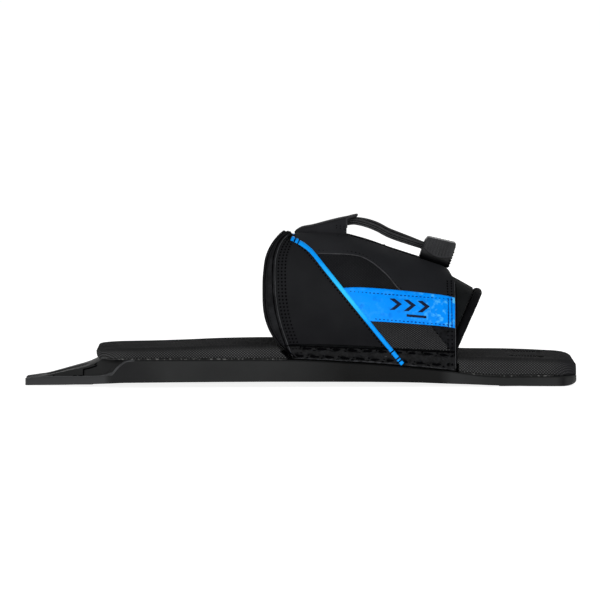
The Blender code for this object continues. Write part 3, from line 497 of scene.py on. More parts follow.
# ---- materials -------------------------------------------------------------------------------
class Look:
    """Builds one procedural material step by step."""

    def __init__(self, name, color, roughness, specular=0.25, metallic=0.0):
        self.material = bpy.data.materials.new(name)
        self.material.use_nodes = True
        self.tree = self.material.node_tree
        self.shader = self.tree.nodes["Principled BSDF"]
        self.shader.inputs["Base Color"].default_value = (*color, 1)
        self.shader.inputs["Roughness"].default_value = roughness
        self.shader.inputs["Specular IOR Level"].default_value = specular
        self.shader.inputs["Metallic"].default_value = metallic
        self.color, self.roughness = color, roughness
        self.normal = None
        self.place = self.wrapped()

    def node(self, kind, **settings):
        made = self.tree.nodes.new(kind)
        for key, setting in settings.items():
            if key.startswith("in_"):
                made.inputs[key[3:].replace("_", " ")].default_value = setting
            else:
                setattr(made, key, setting)
        return made

    def link(self, a, b):
        self.tree.links.new(a, b)

    def math(self, operation, a, b=0.0):
        made = self.node("ShaderNodeMath", operation=operation)
        for socket, given in zip(made.inputs, (a, b)):
            if isinstance(given, (int, float)):
                socket.default_value = given
            else:
                self.link(given, socket)
        return made.outputs[0]

    def wrapped(self):
        """Coordinates that run along the surface on both its upright and its level parts."""
        self.object_place = self.node("ShaderNodeTexCoord").outputs["Object"]
        apart = self.node("ShaderNodeSeparateXYZ")
        self.link(self.object_place, apart.inputs[0])
        across = self.math("SUBTRACT", apart.outputs["Z"], self.math("ABSOLUTE", apart.outputs["Y"]))
        together = self.node("ShaderNodeCombineXYZ")
        self.link(apart.outputs["X"], together.inputs["X"])
        self.link(across, together.inputs["Y"])
        return together.outputs[0]

    def mapped(self, turn=0.0, scale=(1, 1, 1)):
        made = self.node("ShaderNodeMapping", in_Rotation=(0, 0, turn), in_Scale=scale)
        self.link(self.place, made.inputs["Vector"])
        return made.outputs[0]

    def cloudy(self, size, detail=3.0):
        made = self.node("ShaderNodeTexNoise", in_Scale=1000 / size, in_Detail=detail)
        self.link(self.object_place, made.inputs["Vector"])
        return made.outputs["Fac"]

    def ranged(self, source, low, high, to_low, to_high):
        made = self.node("ShaderNodeMapRange")
        self.link(source, made.inputs["Value"])
        for key, given in (("From Min", low), ("From Max", high), ("To Min", to_low), ("To Max", to_high)):
            made.inputs[key].default_value = given
        return made.outputs["Result"]

    def varied(self, size, amount, rough=0.08):
        """Colour and roughness drift softly over the surface."""
        cloud = self.cloudy(size)
        mix = self.node("ShaderNodeMix", data_type="RGBA")
        self.link(self.ranged(cloud, 0.3, 0.7, 0, 1), mix.inputs["Factor"])
        mix.inputs["A"].default_value = (*(c * (1 - amount) for c in self.color), 1)
        mix.inputs["B"].default_value = (*(min(1, c * (1 + amount)) for c in self.color), 1)
        self.base = mix.outputs["Result"]
        self.link(self.base, self.shader.inputs["Base Color"])
        low, high = self.roughness - rough, min(1.0, self.roughness + rough)
        self.link(self.ranged(self.cloudy(size * 0.6), 0.3, 0.7, low, high), self.shader.inputs["Roughness"])
        return self

    def tinted(self, source, color, share):
        """Another colour where source is high."""
        mix = self.node("ShaderNodeMix", data_type="RGBA")
        self.link(self.math("MULTIPLY", source, share), mix.inputs["Factor"])
        self.link(self.base, mix.inputs["A"])
        mix.inputs["B"].default_value = (*color, 1)
        self.base = mix.outputs["Result"]
        self.link(self.base, self.shader.inputs["Base Color"])
        return self

    def bumped(self, height, high_mm, strength=1.0):
        made = self.node("ShaderNodeBump", in_Strength=strength, in_Distance=high_mm * MM)
        self.link(height, made.inputs["Height"])
        if self.normal is not None:
            self.link(self.normal, made.inputs["Normal"])
        self.normal = made.outputs["Normal"]
        self.link(self.normal, self.shader.inputs["Normal"])
        return self

    def grain(self, size, high_mm, detail=4.0):
        return self.bumped(self.cloudy(size, detail), high_mm)

    def bands(self, size, turn):
        """Parallel soft ridges, size apart, turned by an angle within the surface."""
        wave = self.node("ShaderNodeTexWave", in_Scale=314.16 / size)
        wave.bands_direction = "X"
        self.link(self.mapped(turn), wave.inputs["Vector"])
        return wave.outputs["Fac"]

    def crossed(self, size, turn, high_mm):
        """Two sets of ridges that cross: a woven or diamond texture."""
        woven = self.math("MULTIPLY", self.bands(size, turn), self.bands(size, -turn))
        self.pattern = woven
        return self.bumped(woven, high_mm)

    def knit(self, size, high_mm, turn=radians(45), stretch=1.3):
        """Open mesh: rows of small holes on a diamond grid."""
        cells = self.node("ShaderNodeTexVoronoi", in_Scale=1000 / size, in_Randomness=0.0)
        cells.voronoi_dimensions = "2D"
        self.link(self.mapped(turn, (1, stretch, 1)), cells.inputs["Vector"])
        self.pattern = self.ranged(cells.outputs["Distance"], 0.15, 0.45, 0, 1)
        return self.bumped(self.pattern, high_mm)

    def across(self, direction):
        """How far a point lies along a direction, in millimetres."""
        made = self.node("ShaderNodeVectorMath", operation="DOT_PRODUCT")
        self.link(self.object_place, made.inputs[0])
        made.inputs[1].default_value = tuple(1000 * c for c in direction)
        return made.outputs["Value"]

    def stretch_of(self, source, rising, falling):
        """1 between two places along a source, with a soft start and a soft end."""
        return self.math("MULTIPLY", self.ranged(source, *rising, 0, 1), self.ranged(source, *falling, 1, 0))

    def facing_up(self, low, high):
        """1 where the surface faces up by more than high, 0 below low."""
        apart = self.node("ShaderNodeSeparateXYZ")
        self.link(self.node("ShaderNodeTexCoord").outputs["Normal"], apart.inputs[0])
        return self.ranged(apart.outputs["Z"], low, high, 0, 1)


# What each look is made of: its name, colour, roughness and specular level, the size and share of its
# soft drift in colour, and the size and height of its grain.
FINISHES = {
    "plate": ("moulded_nylon", (0.0180, 0.0186, 0.0188), 0.55, 0.09, (40, 0.2), (0.7, 0.035)),
    "foam": ("textured_foam", (0.078, 0.079, 0.080), 1.0, 0.02, (30, 0.15), (2.5, 0.1)),
    "neoprene": ("stretch_neoprene", (0.0088, 0.0098, 0.0102), 0.9, 0.05, (15, 0.2), None),
    "collar": ("collar_fabric", (0.0045, 0.0047, 0.0055), 0.95, 0.05, (8, 0.3), None),
    "binding": ("edge_binding", (0.0098, 0.0100, 0.0110), 0.9, 0.06, (12, 0.25), None),
    "tongue": ("tongue_fabric", (0.008, 0.0082, 0.009), 0.9, 0.06, (12, 0.25), None),
    "flap": ("rear_flap_fabric", (0.0125, 0.0128, 0.0140), 0.9, 0.06, (7, 0.45), None),
    "quarter": ("quarter_overlay", (0.0108, 0.0112, 0.0124), 0.75, 0.08, (22, 0.12), (0.5, 0.03)),
    "vamp": ("vamp_overlay", (0.0122, 0.0128, 0.0148), 0.75, 0.08, (22, 0.12), (0.5, 0.03)),
    "keeper": ("moulded_keeper", (0.0145, 0.0148, 0.0168), 0.8, 0.1, (10, 0.12), (0.4, 0.04)),
    "rim": ("rim_painted_highlight", (0.030, 0.030, 0.033), 0.7, 0.12, (4, 0.2), (0.5, 0.04)),
    "mesh": ("fine_mesh", (0.0215, 0.0223, 0.0240), 0.85, 0.06, (16, 0.15), None),
    "hex_mesh": ("open_mesh", (0.058, 0.058, 0.059), 0.8, 0.1, (14, 0.15), None),
    "hem": ("hem_overlay", (0.0034, 0.0036, 0.0042), 0.65, 0.16, (2.2, 0.75), (1.2, 0.25)),
    "gusset": ("toe_gusset_overlay", (0.0055, 0.0058, 0.0068), 0.8, 0.08, (3, 0.6), (1.4, 0.4)),
    "band": ("blue_film", (0.0002, 0.262, 0.95), 0.3, 0.05, (26, 0.07), (1.1, 0.03)),
    "stripe": ("blue_piping", (0.0004, 0.30, 0.95), 0.35, 0.08, (18, 0.12), (1.4, 0.03)),
    "thread": ("black_thread_and_painted_shade", (0.0012, 0.0012, 0.0016), 0.95, 0.02, (2, 0.4), (0.3, 0.05)),
    "blue_thread": ("dark_blue_thread", (0.0005, 0.045, 0.27), 0.8, 0.05, (2, 0.3), (0.3, 0.05)),
    "bevel": ("bevel_painted_highlight", (0.058, 0.059, 0.062), 0.5, 0.12, (6, 0.25), (0.7, 0.03)),
    "fold": ("hem_fold_painted_highlight", (0.026, 0.0265, 0.029), 0.75, 0.1, (2.5, 0.7), (0.8, 0.1)),
    "gap": ("dark_joint_and_painted_shade", (0.0012, 0.0012, 0.0015), 0.95, 0.02, (3, 0.4), (0.5, 0.05)),
    "seam": ("edge_painted_highlight", (0.048, 0.049, 0.052), 0.8, 0.1, (4, 0.3), (0.5, 0.04)),
    "mark": ("printed_mark", (0.004, 0.009, 0.035), 0.5, 0.1, (4, 0.2), (0.5, 0.02)),
    "webbing": ("loop_webbing", (0.0080, 0.0080, 0.0088), 0.9, 0.06, (5, 0.3), None),
    "lace": ("braided_lace", (0.038, 0.0385, 0.040), 0.8, 0.1, (3, 0.3), None),
    "lock": ("lock_plastic", (0.0145, 0.015, 0.0168), 0.45, 0.22, (9, 0.15), (0.5, 0.03)),
    "slider": ("slider_plastic", (0.0178, 0.0182, 0.0200), 0.5, 0.22, (9, 0.15), (0.5, 0.03)),
    "glue": ("dried_glue_painted_glints", (0.008, 0.008, 0.008), 0.6, 0.3, (3, 0.5), None),
}
# Woven looks, with the size and the height of the weave.
WOVEN = (("neoprene", 0.7, 0.06), ("collar", 1.1, 0.30), ("flap", 1.0, 0.20), ("binding", 0.7, 0.08),
         ("tongue", 0.8, 0.08), ("webbing", 0.6, 0.08), ("lace", 0.75, 0.16))
# The colour in the holes of a knit, or on the ridges of a weave, and its share.
PATTERN_TINTS = (("lace", (0.060, 0.060, 0.064), 0.6), ("mesh", (0.002, 0.002, 0.003), 0.82),
                 ("hex_mesh", (0.002, 0.002, 0.003), 0.88), ("foam", (0.003, 0.003, 0.003), 0.86))


def make_looks():
    looks = {}
    for key, (name, color, roughness, specular, drift, grain) in FINISHES.items():
        looks[key] = Look(name, color, roughness, specular).varied(*drift)
        if grain:
            looks[key].grain(*grain)
    looks["steel"] = Look("stainless_steel", (0.52, 0.52, 0.54), 0.32, 0.5, metallic=1.0)
    looks["steel"].varied(3, 0.12, 0.1).grain(0.35, 0.01)
    for key, size, high in WOVEN:
        looks[key].crossed(size, 0.75, high)
    looks["mesh"].knit(1.35, 0.2)
    looks["hex_mesh"].knit(1.35, 0.4)
    looks["foam"].knit(1.3, 0.3, stretch=1.15)
    for key, color, share in PATTERN_TINTS:
        looks[key].tinted(looks[key].pattern, color, share)
    foam = looks["foam"]
    # painted shade: the footbed darkens towards its rounded toe end
    foam.tinted(foam.ranged(foam.across((1, 0, 0)), 158, 171, 0, 1), (0.014, 0.014, 0.017), 0.6)
    # painted shade: the footbed's upward faces are darker
    foam.tinted(foam.facing_up(0.5, 0.95), (0.012, 0.012, 0.013), 0.4)
    glue = looks["glue"]
    # painted glints: pale flecks on the glue bead
    glue.tinted(glue.ranged(glue.cloudy(1.6, 1.0), 0.57, 0.63, 0, 1), (0.14, 0.14, 0.135), 0.7)
    glue.grain(0.8, 0.15)
    paint_plate_light_and_shade(looks["plate"])
    quarter = looks["quarter"]
    quarter.tinted(quarter.ranged(quarter.across((0, 0, 1)), 62, 30, 0, 1), (0.002, 0.002, 0.003), 0.62)
    vamp = looks["vamp"]
    vamp.tinted(vamp.ranged(vamp.across((1, 0, 0)), 60, 15, 0, 1), (0.026, 0.0265, 0.029), 0.45)
    lock = looks["lock"]
    deep = lock.across((sin(LACE_SLOPE), 0, cos(LACE_SLOPE)))
    middle = LOCK_AT[0] * sin(LACE_SLOPE) + LOCK_AT[2] * cos(LACE_SLOPE)
    # painted shade: the lock darkens towards its underside
    lock.tinted(lock.ranged(deep, middle - 0.5, middle - 4.8, 0, 1), (0.0015, 0.0015, 0.002), 0.95)
    paint_film_highlights(looks["band"])
    piping = looks["stripe"]
    # painted highlight: a paler band across the piping's middle heights
    stripe_painted_highlight = piping.stretch_of(piping.across((0, 0, 1)), (40, 54), (62, 80))
    piping.tinted(stripe_painted_highlight, (0.03, 0.60, 1.0), 0.85)
    return {key: look.material for key, look in looks.items()}


def paint_plate_light_and_shade(nylon):
    """Painted shade and light on the plate: painted shade darkens the wall under the upper, just ahead of the
    tail and at the toe corner, and painted light makes the tail's flange paler.
    """
    ahead = nylon.across((1, 0, 0))
    upright = nylon.facing_up(0.4, 0.1)
    # painted shade on the wall under the upper
    nylon.tinted(nylon.stretch_of(ahead, (-12, 30), (88, 96)), (0.003, 0.003, 0.003), 0.92)
    # painted light on the tail's upright faces
    tail = nylon.math("MULTIPLY", nylon.ranged(ahead, -121, -124, 0, 1), upright)
    nylon.tinted(tail, (0.046, 0.047, 0.049), 0.55)
    # painted shade on the wall just ahead of the tail and at the toe corner
    for rising, falling, color, share in (((-122, -118), (-110, -84), (0.007, 0.007, 0.008), 0.55),
                                          ((162, 166), (166.5, 169), (0.003, 0.003, 0.004), 0.8)):
        nylon.tinted(nylon.math("MULTIPLY", nylon.stretch_of(ahead, rising, falling), upright), color, share)


def paint_film_highlights(film):
    """Painted highlights in pale patches on the blue film, stronger towards its toe end, and darker blue in a
    few places.
    """
    light = film.ranged(film.cloudy(3.2, 5.0), 0.53, 0.66, 0, 1)
    film_painted_highlight = film.math("MULTIPLY", light, film.ranged(film.across((1, 0, 0)), 66, 98, 0.1, 1))
    film.tinted(film_painted_highlight, (0.12, 0.62, 1.0), 0.75)
    film.tinted(film.ranged(film.cloudy(4.5, 4.0), 0.45, 0.3, 0, 1), (0.0, 0.16, 0.72), 0.5)


# ---- camera, light and floor -----------------------------------------------------------------
def camera():
    data = bpy.data.cameras.new("camera")
    data.sensor_width = SENSOR
    data.lens = SENSOR * VIEW_FAR / VIEW_WIDE
    data.clip_end = 100
    data.clip_start = 0.05
    eye = bpy.data.objects.new("camera", data)
    bpy.context.scene.collection.objects.link(eye)
    eye.location = Vector(VIEW_AT) + VIEW_FAR * Vector((0, -cos(VIEW_RISE), sin(VIEW_RISE)))
    look_along = Matrix.Rotation(pi / 2 - VIEW_RISE, 4, "X")
    eye.rotation_euler = (look_along @ Matrix.Rotation(-VIEW_ROLL, 4, "Z")).to_euler()
    bpy.context.scene.camera = eye


def area_light(name, place, at, size, power):
    data = bpy.data.lights.new(name, "AREA")
    data.shape = "RECTANGLE"
    data.size, data.size_y = size
    data.energy = power
    lamp = bpy.data.objects.new(name, data)
    bpy.context.scene.collection.objects.link(lamp)
    lamp.location = place
    lamp.rotation_euler = (Vector(at) - Vector(place)).to_track_quat("-Z", "Y").to_euler()


def studio():
    """Soft light that is brightest near the horizon, and a large pale floor."""
    bpy.context.scene.view_settings.view_transform = "Standard"
    world = bpy.data.worlds.new("studio")
    bpy.context.scene.world = world
    world.use_nodes = True
    tree = world.node_tree
    ground = tree.nodes["Background"]
    ground.inputs["Color"].default_value = (1, 1, 1, 1)
    place, apart = tree.nodes.new("ShaderNodeTexCoord"), tree.nodes.new("ShaderNodeSeparateXYZ")
    fade = tree.nodes.new("ShaderNodeMapRange")
    fade.interpolation_type = "SMOOTHSTEP"
    for key, given in (("From Min", 0.06), ("From Max", 0.5), ("To Min", 1.02), ("To Max", 0.28)):
        fade.inputs[key].default_value = given
    tree.links.new(place.outputs["Generated"], apart.inputs[0])
    tree.links.new(apart.outputs["Z"], fade.inputs["Value"])
    tree.links.new(fade.outputs["Result"], ground.inputs["Strength"])
    area_light("key", (-0.5, -1.7, 0.7), (0, 0, 0.04), (1.2, 0.9), 11)
    area_light("back", (0.6, 1.5, 1.0), (0, 0, 0.04), (1.2, 0.9), 8)
    area_light("side", (1.3, -1.1, 0.7), (0.08, 0, 0.05), (0.5, 0.9), 3)
    mesh = bpy.data.meshes.new("floor")
    r = FLOOR_REACH
    mesh.from_pydata([(-r, -r, 0), (r, -r, 0), (r, r, 0), (-r, r, 0)], [], [(0, 1, 2, 3)])
    floor = bpy.data.objects.new("floor", mesh)
    bpy.context.scene.collection.objects.link(floor)
    pale = bpy.data.materials.new("pale_floor")
    pale.use_nodes = True
    shader = pale.node_tree.nodes["Principled BSDF"]
    for key, given in (("Base Color", (0.5, 0.5, 0.5, 1)), ("Roughness", 0.9), ("Specular IOR Level", 0.1),
                       ("Emission Color", (1, 1, 1, 1)), ("Emission Strength", 0.87)):
        shader.inputs[key].default_value = given
    mesh.materials.append(pale)


# ---- cords -----------------------------------------------------------------------------------
def strand_route(side):
    """One strand's centreline. The far strand rises over the near one on its way to the lock."""
    y, lift = side * 2.4, 0.35 * side

    def on_line(x):
        """Height of the straight line through the lock's channel."""
        return LOCK_AT[2] - (0.35 + (x - LOCK_AT[0]) * sin(LACE_SLOPE)) / cos(LACE_SLOPE)

    free = [(14, 98.5), (20, 100.1), (26, 101.6), (31, 102.5), (36, 103.1 + lift), (43, 101.8 + 2 * lift),
            (50, 99.2 + 2.6 * lift), (56, on_line(56) + 0.3 + 2.6 * lift)]
    straight = [(x, on_line(x) + share * lift)
                for x, share in ((62, 2.6), (70, 2), (78, 1), (86, 1), (93, 1))]
    return [(x, y, z) for x, z in free + straight]


def strands(looks):
    for side in (-1, 1):
        route = rounded(strand_route(side))
        cord = lace_mesh(f"strand_{where(side)}", route, LACE_R, looks["lace"], looks["thread"], True)
        placed(cord, "root", "lace", f"lace_strand_{where(side)}")
        path = [tuple(c * MM for c in p) for p in resampled(route, 80)]


def lacing_route(side):
    def on(x, y, drop):
        return x, y, crown(x) - drop

    at_loop, low, high = LOOP_DROP + 0.1, 10.3, 5.1
    route = [on(82, -side * 0.4, 9.0), on(82, -side * 3.5, 9.0), on(80.2, -side * 7.6, 7.2)]
    hand, over = -side, side > 0
    for x in LOOP_XS:
        route += [on(x + dx, hand * LOOP_Y, at_loop) for dx in (4, 0, -4)]
        if x != LOOP_XS[-1]:
            mid = x - 11
            route += [on(mid + 3.4, hand * 4.6, 6.8 if over else 9.0), on(mid, 0, high if over else low),
                      on(mid - 3.4, -hand * 4.6, 6.8 if over else 9.0)]
            hand, over = -hand, not over
    turn = [(22, 6.8, 91.5), (15.5, 3.2, 91.0), (10, 2.4, 91.0), (5.6, 2.4, 92.4), (4.4, 2.4, 94.6),
            (6.6, 2.4, 96.6), (10, 2.4, 97.5), (13.6, 2.4, 98.4)]
    return route + [(x, hand * y, z) for x, y, z in turn]


# ---- plate and footbed -----------------------------------------------------------------------
def slot_ring(x0, x1, y, wide, z, sides=10):
    r = wide / 2
    right = [(x1 - r + r * sin(pi * k / sides), y - r * cos(pi * k / sides), z) for k in range(sides + 1)]
    left = [(x0 + r - r * sin(pi * k / sides), y + r * cos(pi * k / sides), z) for k in range(sides + 1)]
    return right + left


def flank_spot(x, side, t):
    """A point on the sloping flank of the tail, t from its foot to its shoulder."""
    edge = plate_half(x) - 0.6
    shoulder = plate_half(x) - linear([(-165, 4.5), (-128, 5.5)], x)
    foot = edge - 0.35 * (edge - shoulder)
    low, high = value(LEDGE_Z, x), value(RAMP_Z, x)
    return x, side * (foot + (shoulder - foot) * t), low + (high - low) * t


def rail_bevel_highlight(side, looks):
    """A painted highlight: the paler bevel that runs along the tail's flange and sweeps up to the deck."""
    xs = spread(-174.2, -104.5, 150)

    def spot(i, j, out):
        x = xs[i]
        low = Vector((plate_half(x), value(RAIL_Z, x)))
        high = Vector((plate_half(x) - value(LEDGE_Y, x), value(LEDGE_Z, x)))
        ahead = (high - low).normalized()
        wide = min((high - low).length, 2.3)
        square = Vector((-ahead.y, ahead.x)) * (1 if ahead.x > 0 else -1)
        place = low + ahead * wide * j / 4 + square * out * sin(pi * (0.12 + 0.19 * j))
        return x, side * place.x, place.y

    piece = skin(f"rail_bevel_highlight_{where(side)}", len(xs), 5, lambda i, j: spot(i, j, 0.22),
                 lambda i, j: spot(i, j, -0.3), looks["bevel"], smooth=60)
    placed(piece, "root", "plate")


# Short dark marks of painted shade on the tail's flank: name, start, end, share of the flank's height.
TAIL_DASHES = (("dash_1", -144.0, -141.6, 0.02), ("dash_2", -140.4, -137.6, 0.02),
               ("pip_1", -157.2, -156.0, 0.12), ("pip_2", -130.2, -128.6, 0.9))


def plate(looks):
    toe_lift = [(168, 0.0), (170, 0.3), (172.5, 1.0), (174.2, 2.0), (175, 2.8)]
    piece = from_cad("moulded_plate", "base_plate", looks["plate"], 0.35, toe_lift)
    placed(piece, "root", "plate", "base_plate")
    for side in (-1, 1):
        # painted shade: dark beads for the notch, the step and the small marks on the tail's flank
        marks = {"notch": [flank_spot(-137.2, side, t) for t in spread(0.05, 0.85, 6)],
                 "step": [flank_spot(x, side, 0.75) for x in spread(-137.2, -128.5, 8)]}
        for name, x0, x1, t in TAIL_DASHES:
            marks[name] = [flank_spot(x, side, t) for x in spread(x0, x1, 4)]
        for name, line in marks.items():
            bead(f"tail_{name}", side, line, 0.5, looks["gap"], "plate", sides=8, step=0.4)
        rail_bevel_highlight(side, looks)


def pad_half(x):
    """Half the footbed's width, with rounded corners at both ends."""
    wide = linear(PLATE_HALF_WIDTH, max(x, -104)) - PAD_INSET
    into = max(x - PAD_X1 + PAD_CORNER_R, PAD_X0 + PAD_CORNER_R - x, 0.0)
    return wide - PAD_CORNER_R + sqrt(max(0.0, PAD_CORNER_R**2 - into**2))


def pad_section(x):
    """Half-round upper edge, a faint waist above the joint and soft waves on top."""
    half, top = pad_half(x), value(PAD_TOP, x)
    back = max(0.0, 1 - (x - PAD_X0) / 2.8)
    low = deck(x) + GAP + 4.2 * (1 - sqrt(1 - back**2))
    high = top - low
    round_r = min(3.4, 0.42 * high)
    side = [(half - 1.1, low), (half - 0.4, low + 0.06 * high), (half - 0.1, low + 0.16 * high),
            (half, low + 0.3 * high), (half, top - round_r - 0.12 * high)]
    for t in spread(0.0, pi / 2, 7)[1:]:
        sunk = 0.25 * (1 - t / (pi / 2))
        side.append((half - 1.6 * round_r * (1 - cos(t)), top - round_r + round_r * sin(t) - sunk))
    side += [(share * half, top - 0.12 + 0.12 * cos(6 * share)) for share in (0.8, 0.66, 0.5, 0.34, 0.17)]
    return side + [(-y, z) for y, z in reversed(side)]


def notch_rings(side, reach, x_end, top, taper):
    """A guide for the notch at one side, reach inwards from the plate's edge, with a leaning rear face."""
    x0, z0, lean = NOTCH_START
    x0 -= reach * 0.1
    rings = [[]]
    for out, z in ((0, 0.0), (1, 0.0), (1, top(x0)), (0, top(x0))):
        x = x0 - lean * (z - z0)
        rings[0].append((x, side * (plate_half(x) + 4 if out else plate_half(x) - reach), z))
    for x in (14, 28, 42, 56, 70, 80, 86, 92, x_end):
        near = side * (plate_half(x) - reach - (value(taper, x) if taper else 0.0))
        far = side * (plate_half(x) + 4)
        rings.append([(x, near, 0), (x, far, 0), (x, far, top(x)), (x, near, top(x))])
    return rings


def footbed(looks):
    xs = [-129, -128.85, -128.5, -128, -127.2, -126.2, -125, -123, -120.5, -117.5, -114, -110]
    xs += spread(-106, 155, 64) + [159, 161.5, 164, 166.5, 169, 171, 172.6, 173.8, 174.6, 175]
    pad = loft("foam_footbed", [[[(x, y, z) for y, z in pad_section(x)] for x in xs]], looks["foam"])
    notches, recesses = [], []
    for side in (-1, 1):
        notches.append(notch_rings(side, NOTCH_INSET, NOTCH_END_X, lambda x: 35.0, TOE_TAPER))
        recesses.append(notch_rings(side, FLANGE_REACH + 1, NOTCH_END_X + 1, lambda x: deck(x) + 5.9, None))
    cut(pad, "notch", notches)
    cut(pad, "flange_recess", recesses)
    holes = []
    for y in (-HOLE_Y, HOLE_Y):
        holes.append([slot_ring(*HOLE_XS, y, HOLE_WIDE, z) for z in (0, 40)])
    cut(pad, "access_holes", holes)
    resmoothed(pad, 40)
    placed(pad, "root", "foam", "footbed")


def glue_line(looks):
    """A rough bead of adhesive in the joint between plate and footbed, on each side."""
    for side in (-1, 1):
        for name, x0, x1 in (("rear", -122, -8.5), ("toe", 101, 160)):
            route = []
            for x in spread(x0, x1, 80):
                y = side * (pad_half(x) + 0.25 + ripple(x, side * 9, 0, 3.0, 0.25))
                route.append((x, y, deck(x) + 0.45 + ripple(x, side * 9, 5, 4.0, 0.15)))
            bead(f"glue_bead_{name}", side, route, 0.42, looks["glue"], "foam",
                 sides=8, uneven=0.28, step=0.7)


# ---- upper -----------------------------------------------------------------------------------
def patch(name, side, lower, upper, look, insets, slot, node=None, step=1.6, on_angle=False, bend=None):
    """A sewn panel between two curves given in side view as (x, z); the upper one may be (x, angle).

    Its outer and inner faces lie at the two insets from the arched surface.
    """
    lower_fine, upper_fine = resampled(lower, 200), resampled(upper, 200)
    middle_a, middle_b = lower_fine[100], upper_fine[100]
    high = LACE_EDGE_Z if on_angle else middle_b[1]
    wide = max(4.5, sqrt((middle_b[0] - middle_a[0]) ** 2 + (high - middle_a[1]) ** 2))
    long = run_length(lower)
    rows = edge_steps(max(long, 0.0 if on_angle else run_length(upper)), step)
    cols = edge_steps(wide, step)

    def pick(points, t):
        place = t * (len(points) - 1)
        k = min(len(points) - 2, int(place))
        return tuple(p + (q - p) * (place - k) for p, q in zip(points[k], points[k + 1]))

    def spot(i, j, inset, shaped):
        u, v = rows[i], cols[j]
        (xa, za), (xb, zb) = pick(lower_fine, u), pick(upper_fine, u)
        a, b = angle_at_height(xa, za), zb if on_angle else angle_at_height(xb, zb)
        x, angle = xa + (xb - xa) * v, a + (b - a) * v
        if shaped:
            edge = min(u * long, (1 - u) * long, v * wide, (1 - v) * wide)
            inset += 0.45 * max(0.0, 1 - edge / 0.8) ** 2
            y, z = arch(x, angle, 0, valley=False)
            inset += bend(x, z, u, v) if bend else 0.0
            inset += ripple(x, side * y, z, 14.0, 0.22)
        y, z = arch(x, angle, inset, valley=False)
        return x, side * y, z

    outer, inner = insets
    piece = skin(f"{name}_{where(side)}", len(rows), len(cols), lambda i, j: spot(i, j, outer, True),
                 lambda i, j: spot(i, j, inner, False), look, smooth=50)
    placed(piece, "root", slot, *([f"{node}_{where(side)}"] if node else []))


def hem_height(x, share):
    """Height on the hem at a share of its own height."""
    low = deck(x) + HEM_FOOT
    return low + (hem_line(x)[1] - low) * share


def shifted(points, dx, dz=0.0):
    return [(x + dx, z + dz) for x, z in points]


def stripe_x(z):
    return linear([(-b, a) for a, b in STRIPE], -z)


def stripe_part(z_low, z_high, shift):
    """The stripe's centreline from z_low up to z_high, moved along X."""
    smooth = rounded(STRIPE)
    inside = [p for p in reversed(smooth) if z_low < p[1] < z_high]
    ends = (stripe_x(z_low), z_low), (stripe_x(z_high), z_high)
    return shifted([ends[0]] + inside + [ends[1]], shift)


def rear_seam_x(z):
    return value(REAR_SEAM, z)


def hem_line(x, lift=0.0):
    return x, linear(HEM_TOP, x) + lift


def side_row(side, points, inset, pitch, long, radius):
    """A row of stitches along a side-view curve."""
    fine = resampled(points, 120)
    return [on_side(side, x, z, inset) for x, z in fine], away_from_middle, pitch, long, radius


HEM_PITCH = 9.6
HEM_ROWS = ((0.24, -2.0), (0.80, 2.8))          # share of the hem's height, and where the row starts
HEM_FOOT, HEM_THREAD = 0.6, 0.75                # its foot above the deck, and the inset of its stitches
# Raised folds with a painted highlight, paler than the hem, and the dark joint along the hem: name, look,
# share of its height, inset, radius, waviness.
HEM_BEADS = (("fold_low_highlight", "fold", 0.07, 1.05, 0.42, 0.25), ("fold_middle_highlight", "fold", 0.53, 1.35, 0.38, 0.9),
             ("joint", "gap", 0.97, 0.95, 0.42, 0.35))


def hem_dent(x, v, high):
    """Puckers of the hem: drawn in at each heavy stitch, full between the rows."""
    dent = -0.5 * sin(pi * v) ** 2
    for share, start in HEM_ROWS:
        near_row = exp(-(((v - share) * high) / 1.3) ** 2)
        at_stitch = abs(cos(pi * (x - start) / HEM_PITCH)) ** 8
        dent += near_row * (0.35 + 1.15 * at_stitch)
    return dent + ripple(x, v * high, 0, 2.4, 0.8) + ripple(x * 0.5, v * high, 7, 1.4, 0.5)


def hem(side, looks):
    foot = [(x, deck(x) + HEM_FOOT) for x in (-2.6, *spread(8, TOE_EDGE_X, 10))]
    top = [hem_line(-9.4), hem_line(TOE_EDGE_X)]
    patch("puckered_hem", side, foot, top, looks["hem"], (1.0, 2.9), "hem", "hem", step=0.75,
          bend=lambda x, z, u, v: hem_dent(x, v, 9.0 + 5.0 * u))
    rows = []
    for share, start in HEM_ROWS:
        for k in range(11):
            x = start + 2 + HEM_PITCH * k
            if not -2 < x < TOE_EDGE_X - 5:
                continue
            z = hem_height(x, share)
            lean = ripple(x, z, 3, 5.0, 0.9)
            points = [(x - 3.3, z + 0.3 + lean), (x, z - 0.15), (x + 3.3, z - 0.4 - lean)]
            fine = [on_side(side, a, b, HEM_THREAD) for a, b in resampled(rounded(points), 12)]
            rows.append((fine, away_from_middle, 7.0, 6.2, 0.85))
            for dx, dz in ((-4.4, 1.1), (4.2, -1.3), (-4.8, -0.7)):
                knot = [on_side(side, x + dx + a, z + dz - a, HEM_THREAD) for a in (-0.5, 0.5)]
                rows.append((knot, away_from_middle, 2.0, 1.4, 0.55))
    sewn("heavy_stitches", side, rows, looks["thread"], "hem")
    for name, look, share, inset, radius, wave in HEM_BEADS:
        line = []
        for x in spread(-3.0 - 6.0 * share, TOE_EDGE_X - 0.8, 110):
            z = hem_height(x, share) + ripple(x, 60 * share, 11, 3.4, wave)
            line.append(on_side(side, x, z, inset + ripple(x, 5, 2, 4.0, 0.3)))
        bead(f"hem_{name}", side, line, radius, looks[look], "hem", sides=8, uneven=0.2, step=0.8)


def groove(distance, deep=0.35, wide=0.9):
    return deep * exp(-((distance / wide) ** 2))


REAR_ROWS = (2.2, 4.4, 6.6)    # the perforated rows, measured forwards from the rear seam
STRIPE_ROW = 3.3               # the row of stitches behind the stripe, measured back from its middle
TOE_ROWS = (2.2, 4.8)          # the rows along the toe edge, measured back from it


